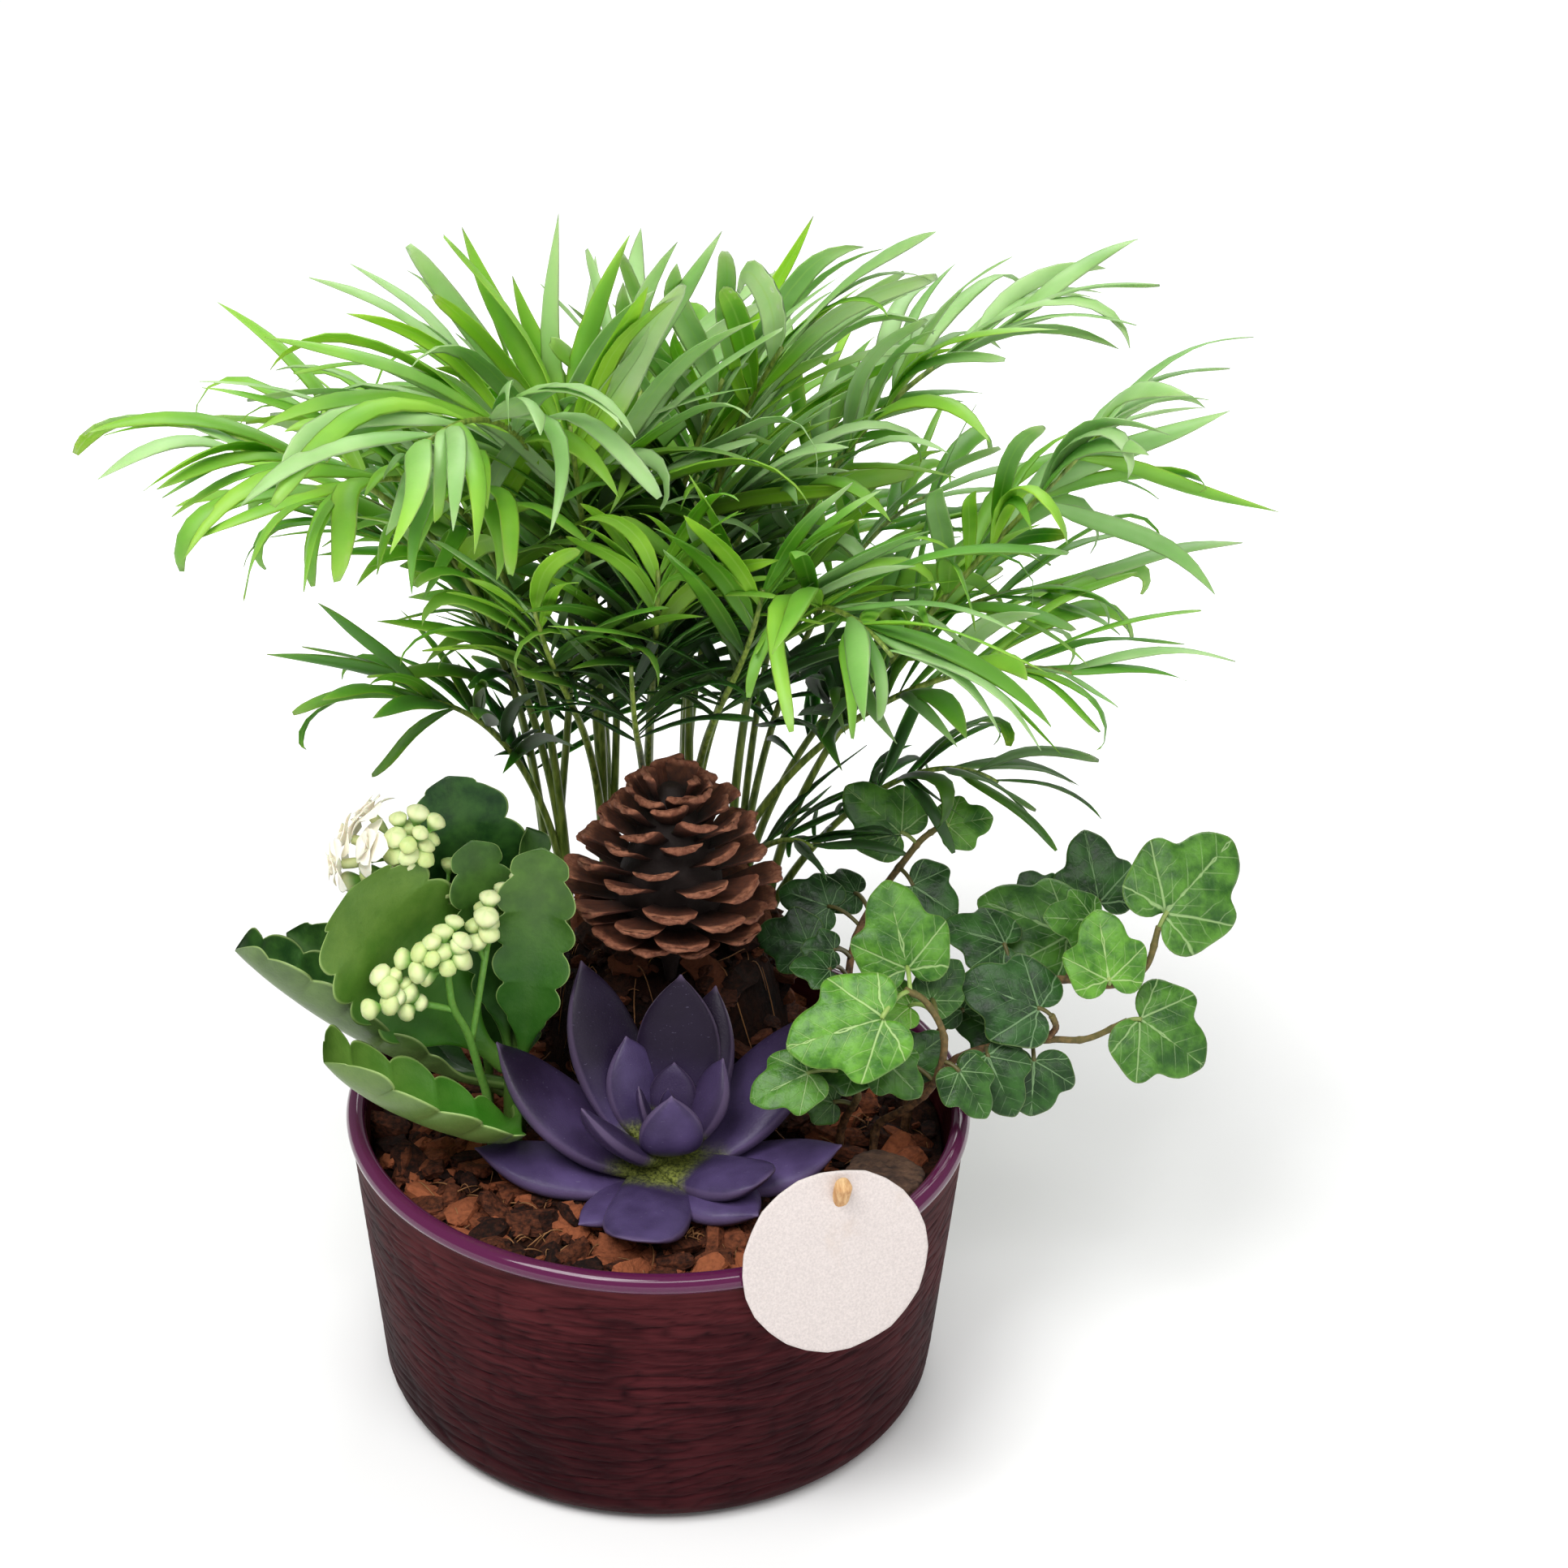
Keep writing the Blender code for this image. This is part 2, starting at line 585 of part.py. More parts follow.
# Each ivy: the lines of its stem and side shoots from the soil up, then its leaves. A leaf:
# foot, tip, width and the way that its blade faces.
IVIES = {
    "ivy_front": (
        [[
            (69, -12, 88), (71, -13, 95), (79, -18, 104), (86, -22, 116), (88, -23, 132),
            (82, -23, 145), (75, -25, 151),
        ]],
        [
            ((77, -17, 151), (71, -4, 173), 25, (0, -0.85, 0.5)),
            ((70, -38, 150), (41, -42, 142), 25, (-0.1, -0.75, 0.66)),
            ((84, -12, 138), (94, -4, 148), 15, (0.2, -0.8, 0.5)),
            ((80, -12, 137), (64, -10, 140), 15, (0, -0.6, 0.8)),
            ((92, -26, 124), (100, -32, 112), 16, (0.2, -0.8, 0.5)),
            ((76, -18, 119), (88, -12, 125), 14, (0.1, -0.75, 0.66)),
        ],
    ),
    "ivy_low": (
        [[(58, -13, 88), (59, -16, 98), (62, -25, 113), (58, -30, 124)]],
        [
            ((47, -36, 129), (30, -41, 123), 17, (-0.1, -0.6, 0.8)),
            ((64, -26, 129), (45, -31, 127), 15, (0, -0.5, 0.85)),
            ((67, -31, 132), (79, -38, 122), 16, (0.1, -0.75, 0.66)),
            ((56, -22, 108), (44, -24, 112), 13, (-0.2, -0.7, 0.7)),
        ],
    ),
    "ivy_right": (
        [
            [
                (80, -2, 88), (83, -2, 97), (90, -3, 108), (102, -2, 115), (123, -1, 118),
                (136, -2, 119), (148, -4, 127),
            ],
            [(123, -1, 118), (126, -2, 123), (124, -4, 129)],
        ],
        [
            ((150, -5, 130), (170, -12, 117), 32, (0.1, -0.75, 0.66)),
            ((119, -7, 116), (118, -16, 101), 25, (0.1, -0.8, 0.6)),
            ((103, -9, 119), (111, -18, 104), 20, (0, -0.85, 0.5)),
            ((122, -5, 131), (97, 1, 139), 28, (0, -0.75, 0.66)),
            ((116, 9, 112), (98, 15, 118), 18, (0, -0.8, 0.6)),
        ],
    ),
    "ivy_upper": (
        [
            [
                (82, 12, 88), (84, 12, 100), (98, 12, 122), (114, 10, 133), (130, 6, 136),
                (145, 3, 136), (154, 4, 142), (157, 5, 156),
            ],
            [(130, 6, 136), (134, 14, 140), (134, 22, 141), (140, 38, 142)],
        ],
        [
            ((157, 4, 159), (181, 23, 176), 30, (0.2, -0.8, 0.6)),
            ((141, -7, 141), (138, 5, 160), 24, (0, -0.8, 0.6)),
            ((135, 24, 141), (109, 33, 149), 30, (0, -0.6, 0.8)),
            ((140, 14, 153), (124, 9, 157), 14, (0.1, -0.75, 0.66)),
            ((113, 16, 143), (92, 20, 148), 17, (0, -0.5, 0.85)),
            ((146, 42, 142), (142, 56, 161), 24, (0, -0.8, 0.6)),
            ((130, 44, 142), (121, 49, 150), 15, (0, -0.8, 0.6)),
            ((98, 4, 124), (90, 12, 137), 18, (0, -0.8, 0.6)),
        ],
    ),
    "ivy_back": (
        [[
            (62, 12, 88), (62, 14, 102), (62, 26, 120), (65, 36, 134), (72, 39, 148),
            (80, 38, 162), (85, 37, 170), (90, 36, 175),
        ]],
        [
            ((80, 37, 171), (64, 46, 182), 22, (0, -0.75, 0.66)),
            ((92, 35, 176), (106, 37, 178), 16, (0, -0.75, 0.66)),
            ((81, 32, 157), (94, 27, 150), 20, (0.1, -0.7, 0.6)),
            ((58, 44, 141), (41, 51, 144), 18, (-0.2, -0.7, 0.7)),
            ((67, 50, 143), (53, 51, 146), 13, (0, -0.6, 0.8)),
            ((51, 35, 132), (34, 39, 134), 20, (-0.2, -0.8, 0.5)),
            ((58, 25, 136), (48, 24, 137), 12, (0, -0.75, 0.66)),
            ((56, 12, 136), (43, 11, 138), 12, (0, -0.5, 0.9)),
        ],
    ),
}


def ivy_leaf(foot, tip, width, facing):
    """A thin domed blade: a lobed outline between a point above its middle and one below."""
    foot, tip, facing = np.array(foot) * MM, np.array(tip) * MM, np.array(facing)
    length = np.linalg.norm(tip - foot) * 1.1
    along = unit(tip - foot)
    normal = unit(facing - along * np.dot(along, facing))
    across = np.cross(along, normal)
    outline = IVY_OUTLINE + [(-x, y) for x, y in reversed(IVY_OUTLINE[1:-1])]
    rim = []
    for x, y in outline:
        droop = IVY_DOME * length * (x * x * 2.2 + (y - 0.4) ** 2 * 1.6)
        rim.append(foot + across * x * width * MM + along * y * length - normal * droop)
    centre = foot + along * 0.36 * length
    above, below = centre + normal * 0.3 * IVY_THICKNESS, centre - normal * 0.7 * IVY_THICKNESS
    return loft([[below], rim, [above]])


def make_ivies():
    for name, (lines, leaves) in IVIES.items():
        x, y = np.array(lines[0][0][:2]) * MM
        bottom = SOIL_LEVEL - 14 * MM
        solids, joints = [], []
        for number, line in enumerate(lines):
            line = np.array(line) * MM
            for low, high in zip(line[1:], line[2:]):
                joints += [low + (high - low) * share for share in (0, 0.25, 0.5, 0.75, 0.96)]
            start = IVY_STEM_RADIUS if number == 0 else 1.1 * MM
            line = line if number else np.vstack([[(x, y, bottom)], line])
            solids.append(tube(line, np.linspace(start, 1.1 * MM, len(line)), 4))
        for foot, tip, width, facing in leaves:
            leaf = ivy_leaf(foot, tip, width, facing)
            below, notch, above = (np.array(leaf[0][place]) for place in (0, 1, -1))
            notch = notch * 0.86 + (below + above) / 2 * 0.14
            joint = min(joints, key=lambda point: np.linalg.norm(point - notch))
            solids += [tube([joint, notch], [0.7 * MM, 0.8 * MM], 3), leaf]
        room.add_object(fuse(name, solids, IVY_LEAF))
        stand_in_soil(x, y, IVY_STEM_RADIUS, bottom)


make_ivies()


# Tag and peg: a round paper tag that leans on the lip, held by a wooden peg stuck in the soil.

TAG_RADIUS = 28.3 * MM
TAG_THICKNESS = 0.8 * MM
TAG_TURN = 15
TAG_LEAN = 12
TAG_CENTRE = np.array([51.1, -89.9, 98.8]) * MM
TAG_EDGES = 26
PEG_RADIUS = 2.5 * MM
PEG_HEAD = np.array([52.9, -88.6, 124.6]) * MM
PEG_FOOT = np.array([48.2, -62, 71]) * MM


def make_tag():
    turn, lean = radians(TAG_TURN), radians(TAG_LEAN)
    facing = np.array([sin(turn) * cos(lean), -cos(turn) * cos(lean), sin(lean)])
    across = np.array([cos(turn), sin(turn), 0])
    up = np.cross(facing, across)
    draw = Random(5)
    edge = []
    for number in range(TAG_EDGES):
        angle = number * 2 * pi / TAG_EDGES
        radius = TAG_RADIUS + draw.uniform(-0.5, 0.4) * MM
        edge.append(TAG_CENTRE + radius * (cos(angle) * across + sin(angle) * up))
    tag = mesh_object("tag", *loft([edge, [p + facing * TAG_THICKNESS for p in edge]]), PAPER)
    line = PEG_FOOT - PEG_HEAD
    hole = tube([PEG_HEAD - line * 0.2, PEG_FOOT], [PEG_RADIUS + 0.5 * MM] * 2, 10)
    combine(tag, [hole], "DIFFERENCE")
    room.add_object(tag)
    peg = mesh_object("tag_peg", *tube([PEG_HEAD, PEG_FOOT], [PEG_RADIUS] * 2, 8), PALE_WOOD)
    room.add_object(peg)


make_tag()


# Parlour palm: shoots that stand close together behind the cone, each with arching fronds. A
# frond is a rib that carries pairs of long pointed leaflets on its outer part.

RIB_RADIUS = (1.7 * MM, 1 * MM)
RIB_BENDS = [0, 8, 16, 24, 31, 39]
RIB_CLEARANCE = 0.5 * MM
LEAFLET_WIDTH = 12.5 * MM
LEAFLET_THICKNESS = 1.1 * MM
LEAFLET_CLEARANCE = 0.6 * MM
LEAFLET_STATIONS = [(0, 0.1), (0.36, 1), (0.72, 0.8)]
SHOOT_RADIUS = 2.6 * MM
SHOOT_HEIGHT = 12 * MM

# Each shoot: where it stands, then its fronds. A frond: the tip of its rib, the pitch of the
# rib there, how much of its height it climbs before it leans out, the share of the rib that is
# bare, its pairs of leaflets, their length and how far they arch over in degrees.
PALM_SHOOTS = [
    ((-30, 60), [
        ((-122, 10, 309), 8, 0.4, 0.5, 6, 82, 38),
        ((-92, -20, 305), -12, 0.45, 0.55, 6, 78, 48),
        ((-78, 32, 222), 12, 0.35, 0.6, 4, 54, 16),
    ]),
    ((-36, 71), [
        ((-98, 106, 262), 10, 0.4, 0.52, 5, 76, 30),
        ((-57, 60, 312), 45, 0.45, 0.5, 5, 80, 22),
        ((-104, 62, 270), 12, 0.4, 0.55, 5, 76, 34),
    ]),
    ((-18, 63), [
        ((-62, -46, 330), -5, 0.6, 0.56, 6, 84, 42),
        ((-36, -6, 268), 62, 0.55, 0.6, 5, 62, 20),
        ((-25, 2, 320), 62, 0.62, 0.6, 6, 96, 10),
    ]),
    ((-16, 82), [
        ((-50, 102, 292), 28, 0.45, 0.52, 5, 82, 26),
        ((-4, 96, 304), 50, 0.5, 0.5, 5, 84, 18),
        ((-34, 150, 262), 5, 0.45, 0.52, 5, 80, 36),
    ]),
    ((-4, 69), [
        ((0, -12, 282), 70, 0.55, 0.58, 6, 60, 24),
        ((-8, 2, 246), 74, 0.6, 0.64, 4, 48, 18),
        ((19, 34, 324), 60, 0.55, 0.55, 5, 90, 12),
    ]),
    ((10, 62), [
        ((30, -12, 276), 66, 0.55, 0.58, 6, 76, 14),
        ((66, -28, 262), -25, 0.62, 0.6, 5, 76, 36),
        ((22, 26, 290), 35, 0.66, 0.6, 5, 80, 22),
    ]),
    ((8, 84), [
        ((20, 152, 286), 12, 0.45, 0.5, 5, 84, 34),
        ((36, 32, 334), 48, 0.52, 0.52, 6, 88, 20),
        ((64, 112, 288), 22, 0.45, 0.52, 5, 82, 26),
    ]),
    ((24, 65), [
        ((109, 72, 330), 22, 0.45, 0.52, 6, 84, 40),
        ((126, 20, 236), -5, 0.36, 0.56, 5, 74, 26),
        ((50, 36, 168), -6, 0.3, 0.5, 4, 46, 14),
    ]),
    ((27, 79), [
        ((95, 130, 256), 8, 0.4, 0.52, 5, 78, 34),
        ((130, 62, 248), 4, 0.4, 0.54, 5, 82, 26),
        ((60, 150, 244), -2, 0.4, 0.55, 5, 74, 34),
    ]),
    ((37, 67), [
        ((130, 22, 312), 52, 0.34, 0.52, 6, 80, 46),
        ((109, 40, 189), -28, 0.3, 0.55, 4, 52, 40),
    ]),
]


def rib_line(foot, tip, pitch, climb, shift, count=40):
    """Points along a frond's rib, on chords of a curve that leaves the soil upright."""
    run = tip - foot
    out = unit(run * (1, 1, 0))
    side = np.cross(UP, out) * shift
    end = cos(radians(pitch)) * out + sin(radians(pitch)) * UP
    first = foot + UP * run[2] * climb + out * 2 * MM + side
    second = tip - end * np.linalg.norm(run) * 0.36 + side
    bends = bezier(foot, first, second, tip, np.array(RIB_BENDS) / (count - 1))
    return np.array([np.interp(range(count), RIB_BENDS, row) for row in bends.T]).T


def rib_solid(line, extra=0.0):
    """The rib as a four-sided tube that thins to its tip."""
    radii = np.linspace(RIB_RADIUS[0], RIB_RADIUS[1], len(RIB_BENDS)) + extra
    return tube(line[RIB_BENDS], radii, 4)


def leaflet_solid(root, heading, down, twist, length, arch, extra=0.0):
    """A pointed blade with a keel, along a line that arches over towards down."""
    steps = 25
    pull = unit(down - heading * np.dot(down, heading))
    across = turned(unit(np.cross(heading, pull)), heading, twist)
    bends = np.radians(arch) * np.linspace(0, 1, steps + 1) ** 1.25
    headings = np.cos(bends)[:, None] * heading + np.sin(bends)[:, None] * pull
    line = root + np.vstack([[0, 0, 0], np.cumsum(headings[1:], axis=0)]) * length / steps
    rings = []
    stations = LEAFLET_STATIONS if arch > 34 else LEAFLET_STATIONS[:1] + [(0.5, 1)]
    for share, wide in stations:
        at = round(share * steps)
        normal = np.cross(across, headings[at])
        half = across * (LEAFLET_WIDTH / 2 * wide * min(1, length / (70 * MM)) + extra)
        centre = line[at] + normal * (0.35 * MM if share == 0 else 0)
        keel = centre - normal * (LEAFLET_THICKNESS * (0.65 + 0.35 * wide) + extra)
        ring = [centre - half, keel, centre + half]
        rings.append(ring + [centre + normal * extra] if extra else ring)
    return loft([*rings, [line[-1] + headings[-1] * extra]])


# Changes that a leaflet tries until it clears the other plants: further from the rib, further
# over (both in degrees), and a shorter blade.
LEAFLET_TRIES = [
    (0, 0, 1), (0, 12, 1), (0, -12, 1), (9, 0, 1), (-9, 0, 1), (0, 25, 1), (0, -25, 1),
    (12, 18, 0.88), (-12, -18, 0.88), (0, 0, 0.7), (0, 30, 0.7), (0, -30, 0.7), (0, 0, 0.5),
]


def frond_leaflets(frond, line, bare, pairs, length, arch, draw):
    """The solids of one frond's leaflets, each bent until it clears all but the frond's rib."""
    solids = []
    for number in range(pairs * 2):
        share = (number // 2) / (pairs - 1)
        place = (bare + (0.985 - bare) * share) * (len(line) - 1)
        place -= 0.8 * (number % 2)
        low = int(place)
        high = min(low + 1, len(line) - 1)
        root = line[low] + (line[high] - line[low]) * (place - low)
        along = unit(line[high] - line[low - 1])
        flat = unit(along * (1, 1, 0.0) + (0, 0, 1e-6))
        across = unit(np.cross(along, np.cross(UP, flat) if abs(along[2]) > 1 else UP))
        normal = np.cross(across, along)
        side = across if number % 2 else -across
        angle = 60 - 38 * share + draw.uniform(-5, 5)
        lift = 16 + draw.uniform(-9, 9)
        twist = draw.uniform(-14, 14)
        size = length * MM * (0.74 + 0.26 * sin(pi * min(1, share + 0.12))) * draw.uniform(0.92, 1.06)
        bend = arch * draw.uniform(0.7, 1.25)
        outward = side * cos(radians(lift)) + normal * sin(radians(lift))
        down = -0.75 * UP - 0.5 * normal
        for wider, over, shorter in LEAFLET_TRIES:
            turn = radians(angle + wider)
            heading = cos(turn) * along + sin(turn) * outward
            shape = (root, heading, down, twist, size * shorter, bend + over)
            if not room.taken(leaflet_solid(*shape, extra=LEAFLET_CLEARANCE), frond):
                solids.append(leaflet_solid(*shape))
                room.add(solids[-1], f"{frond}_leaflet_{number}")
                break
    return solids


def make_palm():
    ribs = {}
    for number, ((x, y), fronds) in enumerate(PALM_SHOOTS):
        ground = SOIL_LEVEL + MOUND_RISE * mound_share(x * MM, y * MM)
        foot = np.array([x * MM, y * MM, ground + SHOOT_HEIGHT * 0.6])
        lines = []
        for tip, pitch, climb, *_ in fronds:
            for shift in (0, 4, -4, 8, -8, 12, -12, 16, -16):
                line = rib_line(foot, np.array(tip) * MM, pitch, climb, shift * MM)
                if not room.taken(rib_solid(line, RIB_CLEARANCE), ""):
                    break
            lines.append(line)
        for order, line in enumerate(lines):
            room.add(rib_solid(line), f"frond_{number}_{order}")
        ribs[number] = (ground, lines)
    for number, ((x, y), fronds) in enumerate(PALM_SHOOTS):
        name = f"palm_shoot_{number + 1}"
        ground, lines = ribs[number]
        bottom = ground - 14 * MM
        stem = [(x * MM, y * MM, z) for z in (bottom, ground, ground + SHOOT_HEIGHT)]
        solids = [tube(stem, [SHOOT_RADIUS, SHOOT_RADIUS, 2 * MM], 5)]
        for order, (line, frond) in enumerate(zip(lines, fronds)):
            draw = Random(number * 10 + order)
            solids.append(rib_solid(line))
            solids += frond_leaflets(f"frond_{number}_{order}", line, *frond[3:], draw)
        fuse(name, solids, PALM_LEAF)
        stand_in_soil(x * MM, y * MM, SHOOT_RADIUS, bottom)


make_palm()


# Soil: bark chips and fibre in one packed body, with a hole or a bed for each thing in it.

SOIL_RINGS = [91, 79, 66, 50, 33, 15]
CHIPS = 22
SLAB_CENTRE = np.array([69, -34, 85.3]) * MM
SLAB_THICKNESS = 4.5 * MM
SLAB_REACH = [14, 12.5, 13.5, 11, 12.5, 14.5, 12]


def soil_height(x, y):
    """Height of the bare surface: level at the edge, higher over the palm's root ball."""
    ripple = sin(x * 190 + 1) * sin(y * 170 + 2) + 0.6 * sin((x + y) * 330)
    return SOIL_LEVEL + MOUND_RISE * mound_share(x, y) + 0.9 * MM * ripple


def slab_solid(extra=0.0):
    """A flat flake of bark with an uneven outline, a little higher at the back."""
    edge = []
    for number, reach in enumerate(SLAB_REACH):
        angle = number * 2 * pi / len(SLAB_REACH)
        x, y = (reach * MM + extra) * cos(angle), (reach * MM * 0.85 + extra) * sin(angle)
        edge.append(SLAB_CENTRE + np.array([x, y, y * 0.12]))
    return loft([
        [point - UP * extra for point in edge],
        [point + UP * (SLAB_THICKNESS + extra) + (SLAB_CENTRE - point) * 0.08 for point in edge],
    ])


def chip(draw):
    """A random split piece of bark, half sunk in the surface."""
    while True:
        reach, angle = sqrt(draw.uniform(0.02, 0.87)), draw.uniform(0, 2 * pi)
        if draw.random() < 0.6:
            reach, angle = draw.uniform(0.62, 0.93), draw.uniform(pi, 2 * pi)
        x, y = 93 * MM * reach * cos(angle), 93 * MM * reach * sin(angle)
        length, width = draw.uniform(4, 8) * MM, draw.uniform(2.5, 4.5) * MM
        height = draw.uniform(2, 3.6) * MM
        turn, tilt = draw.uniform(0, 360), draw.uniform(-26, 26)
        skew = [draw.uniform(0.7, 1.1) for _ in range(8)]
        if x * x + y * y > (91 * MM - length) ** 2:
            continue
        if any((x - a) ** 2 + (y - b) ** 2 < (r + length + 1 * MM) ** 2 for a, b, r, _ in stem_holes):
            continue
        centre = np.array([x, y, soil_height(x, y) + height * 0.15])
        along = turned(turned(np.array([1.0, 0, 0]), np.array([0, 1.0, 0]), tilt), UP, turn)
        across = turned(np.array([0, 1.0, 0]), UP, turn)
        normal = np.cross(along, across)
        corners = [(-1, -1), (1, -1), (1, 1), (-1, 1)]
        rings = []
        for level in (-1, 1):
            ring = []
            for number, (a, b) in enumerate(corners):
                size = skew[number + (4 if level > 0 else 0)] * (0.8 if level > 0 else 1)
                point = along * a * length * size + across * b * width * size
                ring.append(centre + point + normal * level * height)
            rings.append(ring)
        grown = [[centre + (point - centre) * 1.2 for point in ring] for ring in rings]
        if not room.taken(loft(grown), ""):
            return loft(rings)


def make_soil():
    inner_foot = wall_radius(POT_FLOOR) - POT_WALL
    inner_lip = POT_RADIUS - POT_LIP_HEIGHT
    facet = cos(pi / POT_SIDES)
    share = (SOIL_LEVEL - POT_FLOOR) / (POT_HEIGHT - POT_FLOOR)
    inner_level = inner_foot + (inner_lip - inner_foot) * share
    turns = np.arange(SOIL_SIDES) * 2 * pi / SOIL_SIDES
    rings = []
    for radius, height in [
        ((inner_foot - 5 * MM) * facet - SOIL_GAP, POT_FLOOR + SOIL_GAP),
        (inner_foot * facet - SOIL_GAP, POT_FLOOR + 5 * MM + SOIL_GAP),
        (inner_level * facet - SOIL_GAP, SOIL_LEVEL - 3 * MM),
    ]:
        rings.append([(radius * cos(a), radius * sin(a), height) for a in turns])
    for radius in SOIL_RINGS:
        ring = [(radius * MM * cos(a), radius * MM * sin(a)) for a in turns]
        rings.append([(x, y, soil_height(x, y)) for x, y in ring])
    rings.append([(0, 0, soil_height(0, 0))])
    draw = Random(11)
    slab = slab_solid()
    room.add(slab, "bark_slab")
    chips = [chip(draw) for _ in range(CHIPS)]
    soil = fuse("potting_soil", [loft(rings), *chips], POTTING_MIX)
    cutters = [slab_solid(0.4 * MM)]
    line = PEG_FOOT - PEG_HEAD
    reach = STEM_GAP / np.linalg.norm(line)
    cutters.append(tube([PEG_HEAD, PEG_FOOT + line * reach], [(PEG_RADIUS + STEM_GAP) * 1.06] * 2, 8))
    for x, y, radius, bottom in stem_holes:
        hole = [(x, y, bottom), (x, y, bottom + 60 * MM)]
        cutters.append(tube(hole, [radius / cos(pi / 5)] * 2, 5))
    combine(soil, cutters, "DIFFERENCE")
    mesh_object("bark_slab", *slab, BARK)


make_soil()
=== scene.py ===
from math import cos, pi, radians, sin, sqrt
from random import Random

import bpy
import numpy as np
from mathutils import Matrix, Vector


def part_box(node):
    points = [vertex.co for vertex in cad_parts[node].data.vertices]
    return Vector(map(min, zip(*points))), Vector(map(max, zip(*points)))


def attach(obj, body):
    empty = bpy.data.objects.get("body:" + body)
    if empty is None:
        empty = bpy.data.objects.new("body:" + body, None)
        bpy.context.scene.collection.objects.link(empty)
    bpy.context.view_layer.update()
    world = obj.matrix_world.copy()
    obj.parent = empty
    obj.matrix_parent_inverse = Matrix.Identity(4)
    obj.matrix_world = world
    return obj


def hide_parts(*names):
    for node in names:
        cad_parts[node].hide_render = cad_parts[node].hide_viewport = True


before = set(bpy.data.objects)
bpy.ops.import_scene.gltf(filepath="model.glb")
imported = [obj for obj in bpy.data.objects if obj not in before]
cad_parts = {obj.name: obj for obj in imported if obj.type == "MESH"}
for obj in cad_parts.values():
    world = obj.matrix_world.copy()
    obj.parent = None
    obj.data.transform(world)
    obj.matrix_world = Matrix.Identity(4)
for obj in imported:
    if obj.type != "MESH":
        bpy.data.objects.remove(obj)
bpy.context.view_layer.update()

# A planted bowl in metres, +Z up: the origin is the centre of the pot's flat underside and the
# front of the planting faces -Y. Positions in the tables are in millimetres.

MM = 0.001

# Pot: one thrown bowl of earthenware. Its wall is combed with wavy grooves and dipped in a satin
# plum glaze, and its rounded lip is wiped smooth and shines.

POT_RADIUS, POT_HEIGHT, POT_WALL, POT_FLOOR = 100 * MM, 99 * MM, 5.5 * MM, 6 * MM
POT_FOOT_RADIUS, POT_FOOT_ROUND, POT_LIP, POT_LIP_STEP = 91 * MM, 9 * MM, 3 * MM, 0.8 * MM
POT_CORNER, POT_POLE, POT_COLUMNS = 5 * MM, 0.3 * MM, 300
GROOVE_DEPTH = 0.408 * MM
# Two sets of grooves. Each: its count of waves, how often they turn on their way round the pot,
# how far apart they run, the seed of their draws, and the width of a groove in the waves' measure.
GROOVE_SETS = [
    (46, (1, 12), (8 * MM, 20 * MM), 4, 0.16),
    (40, (6, 30), (6 * MM, 11 * MM), 9, 0.2),
]


class Wire:
    """One socket of a material's node tree. + - and * with wires or numbers add Math nodes."""

    def __init__(self, tree, socket=None):
        self.tree, self.socket = tree, socket

    def node(self, kind, settings=(), values=(), outlet=0):
        """A new node: its settings first, then the values or wires of its sockets."""
        node = self.tree.nodes.new(kind)
        for name, value in dict(settings).items():
            setattr(node, name, value)
        for name, value in dict(values).items():
            if isinstance(value, Wire):
                self.tree.links.new(value.socket, node.inputs[name])
            else:
                node.inputs[name].default_value = value
        return Wire(self.tree, node.outputs[outlet])

    def maths(self, operation, first, second=0.0):
        return self.node("ShaderNodeMath", {"operation": operation}, {0: first, 1: second})

    def __add__(self, other):
        return self.maths("ADD", self, other)

    def __sub__(self, other):
        return self.maths("SUBTRACT", self, other)

    def __rsub__(self, other):
        return self.maths("SUBTRACT", other, self)

    def __mul__(self, other):
        return self.maths("MULTIPLY", self, other)

    def __abs__(self):
        return self.maths("ABSOLUTE", self)

    __radd__, __rmul__ = __add__, __mul__

    def step(self, low, high):
        """0 below low, 1 above high and a smooth S between; the other way round if low > high."""
        settings = {"interpolation_type": "SMOOTHSTEP"}
        low, high, start, end = (low, high, 0.0, 1.0) if low < high else (high, low, 1.0, 0.0)
        values = {"Value": self, 1: low, 2: high, 3: start, 4: end}
        return self.node("ShaderNodeMapRange", settings, values)

    def mix(self, first, second):
        """The colour first where this is 0 and second where it is 1."""
        settings = {"data_type": "RGBA"}
        return self.node("ShaderNodeMix", settings, {0: self, 6: first, 7: second}, 2)

    def place(self):
        return self.node("ShaderNodeTexCoord", outlet="Object")

    def mark(self, name):
        """A number that the piece's own points carry."""
        return self.node("ShaderNodeAttribute", {"attribute_name": name}, outlet="Fac")

    def stretched(self, x, y, z):
        return self.node("ShaderNodeVectorMath", {"operation": "MULTIPLY"}, {0: self, 1: (x, y, z)})

    def part(self, number):
        """One part of this vector: 0, 1 or 2 for x, y or z."""
        return self.node("ShaderNodeSeparateXYZ", (), {0: self}, number)

    def beside(self, y):
        """The vector that has this number as its x, then y, and 0 as its z."""
        return self.node("ShaderNodeCombineXYZ", (), {0: self, 1: y})

    def noise(self, scale, detail=3.0, rough=0.5):
        """Cloudy noise on this vector, round about 0.5."""
        values = {"Vector": self, "Scale": scale, "Detail": detail, "Roughness": rough}
        return self.node("ShaderNodeTexNoise", (), values, "Fac")

    def bump(self, depth, strength=1.0):
        values = {"Strength": strength, "Distance": depth, "Height": self}
        return self.node("ShaderNodeBump", (), values)


def colour(red, green, blue):
    """A colour given as 0 to 255 on a screen, as the shader's linear light."""
    shares = np.array([red, green, blue]) / 255
    linear = np.where(shares > 0.04045, ((shares + 0.055) / 1.055) ** 2.4, shares / 12.92)
    return (*(float(share) for share in linear), 1.0)


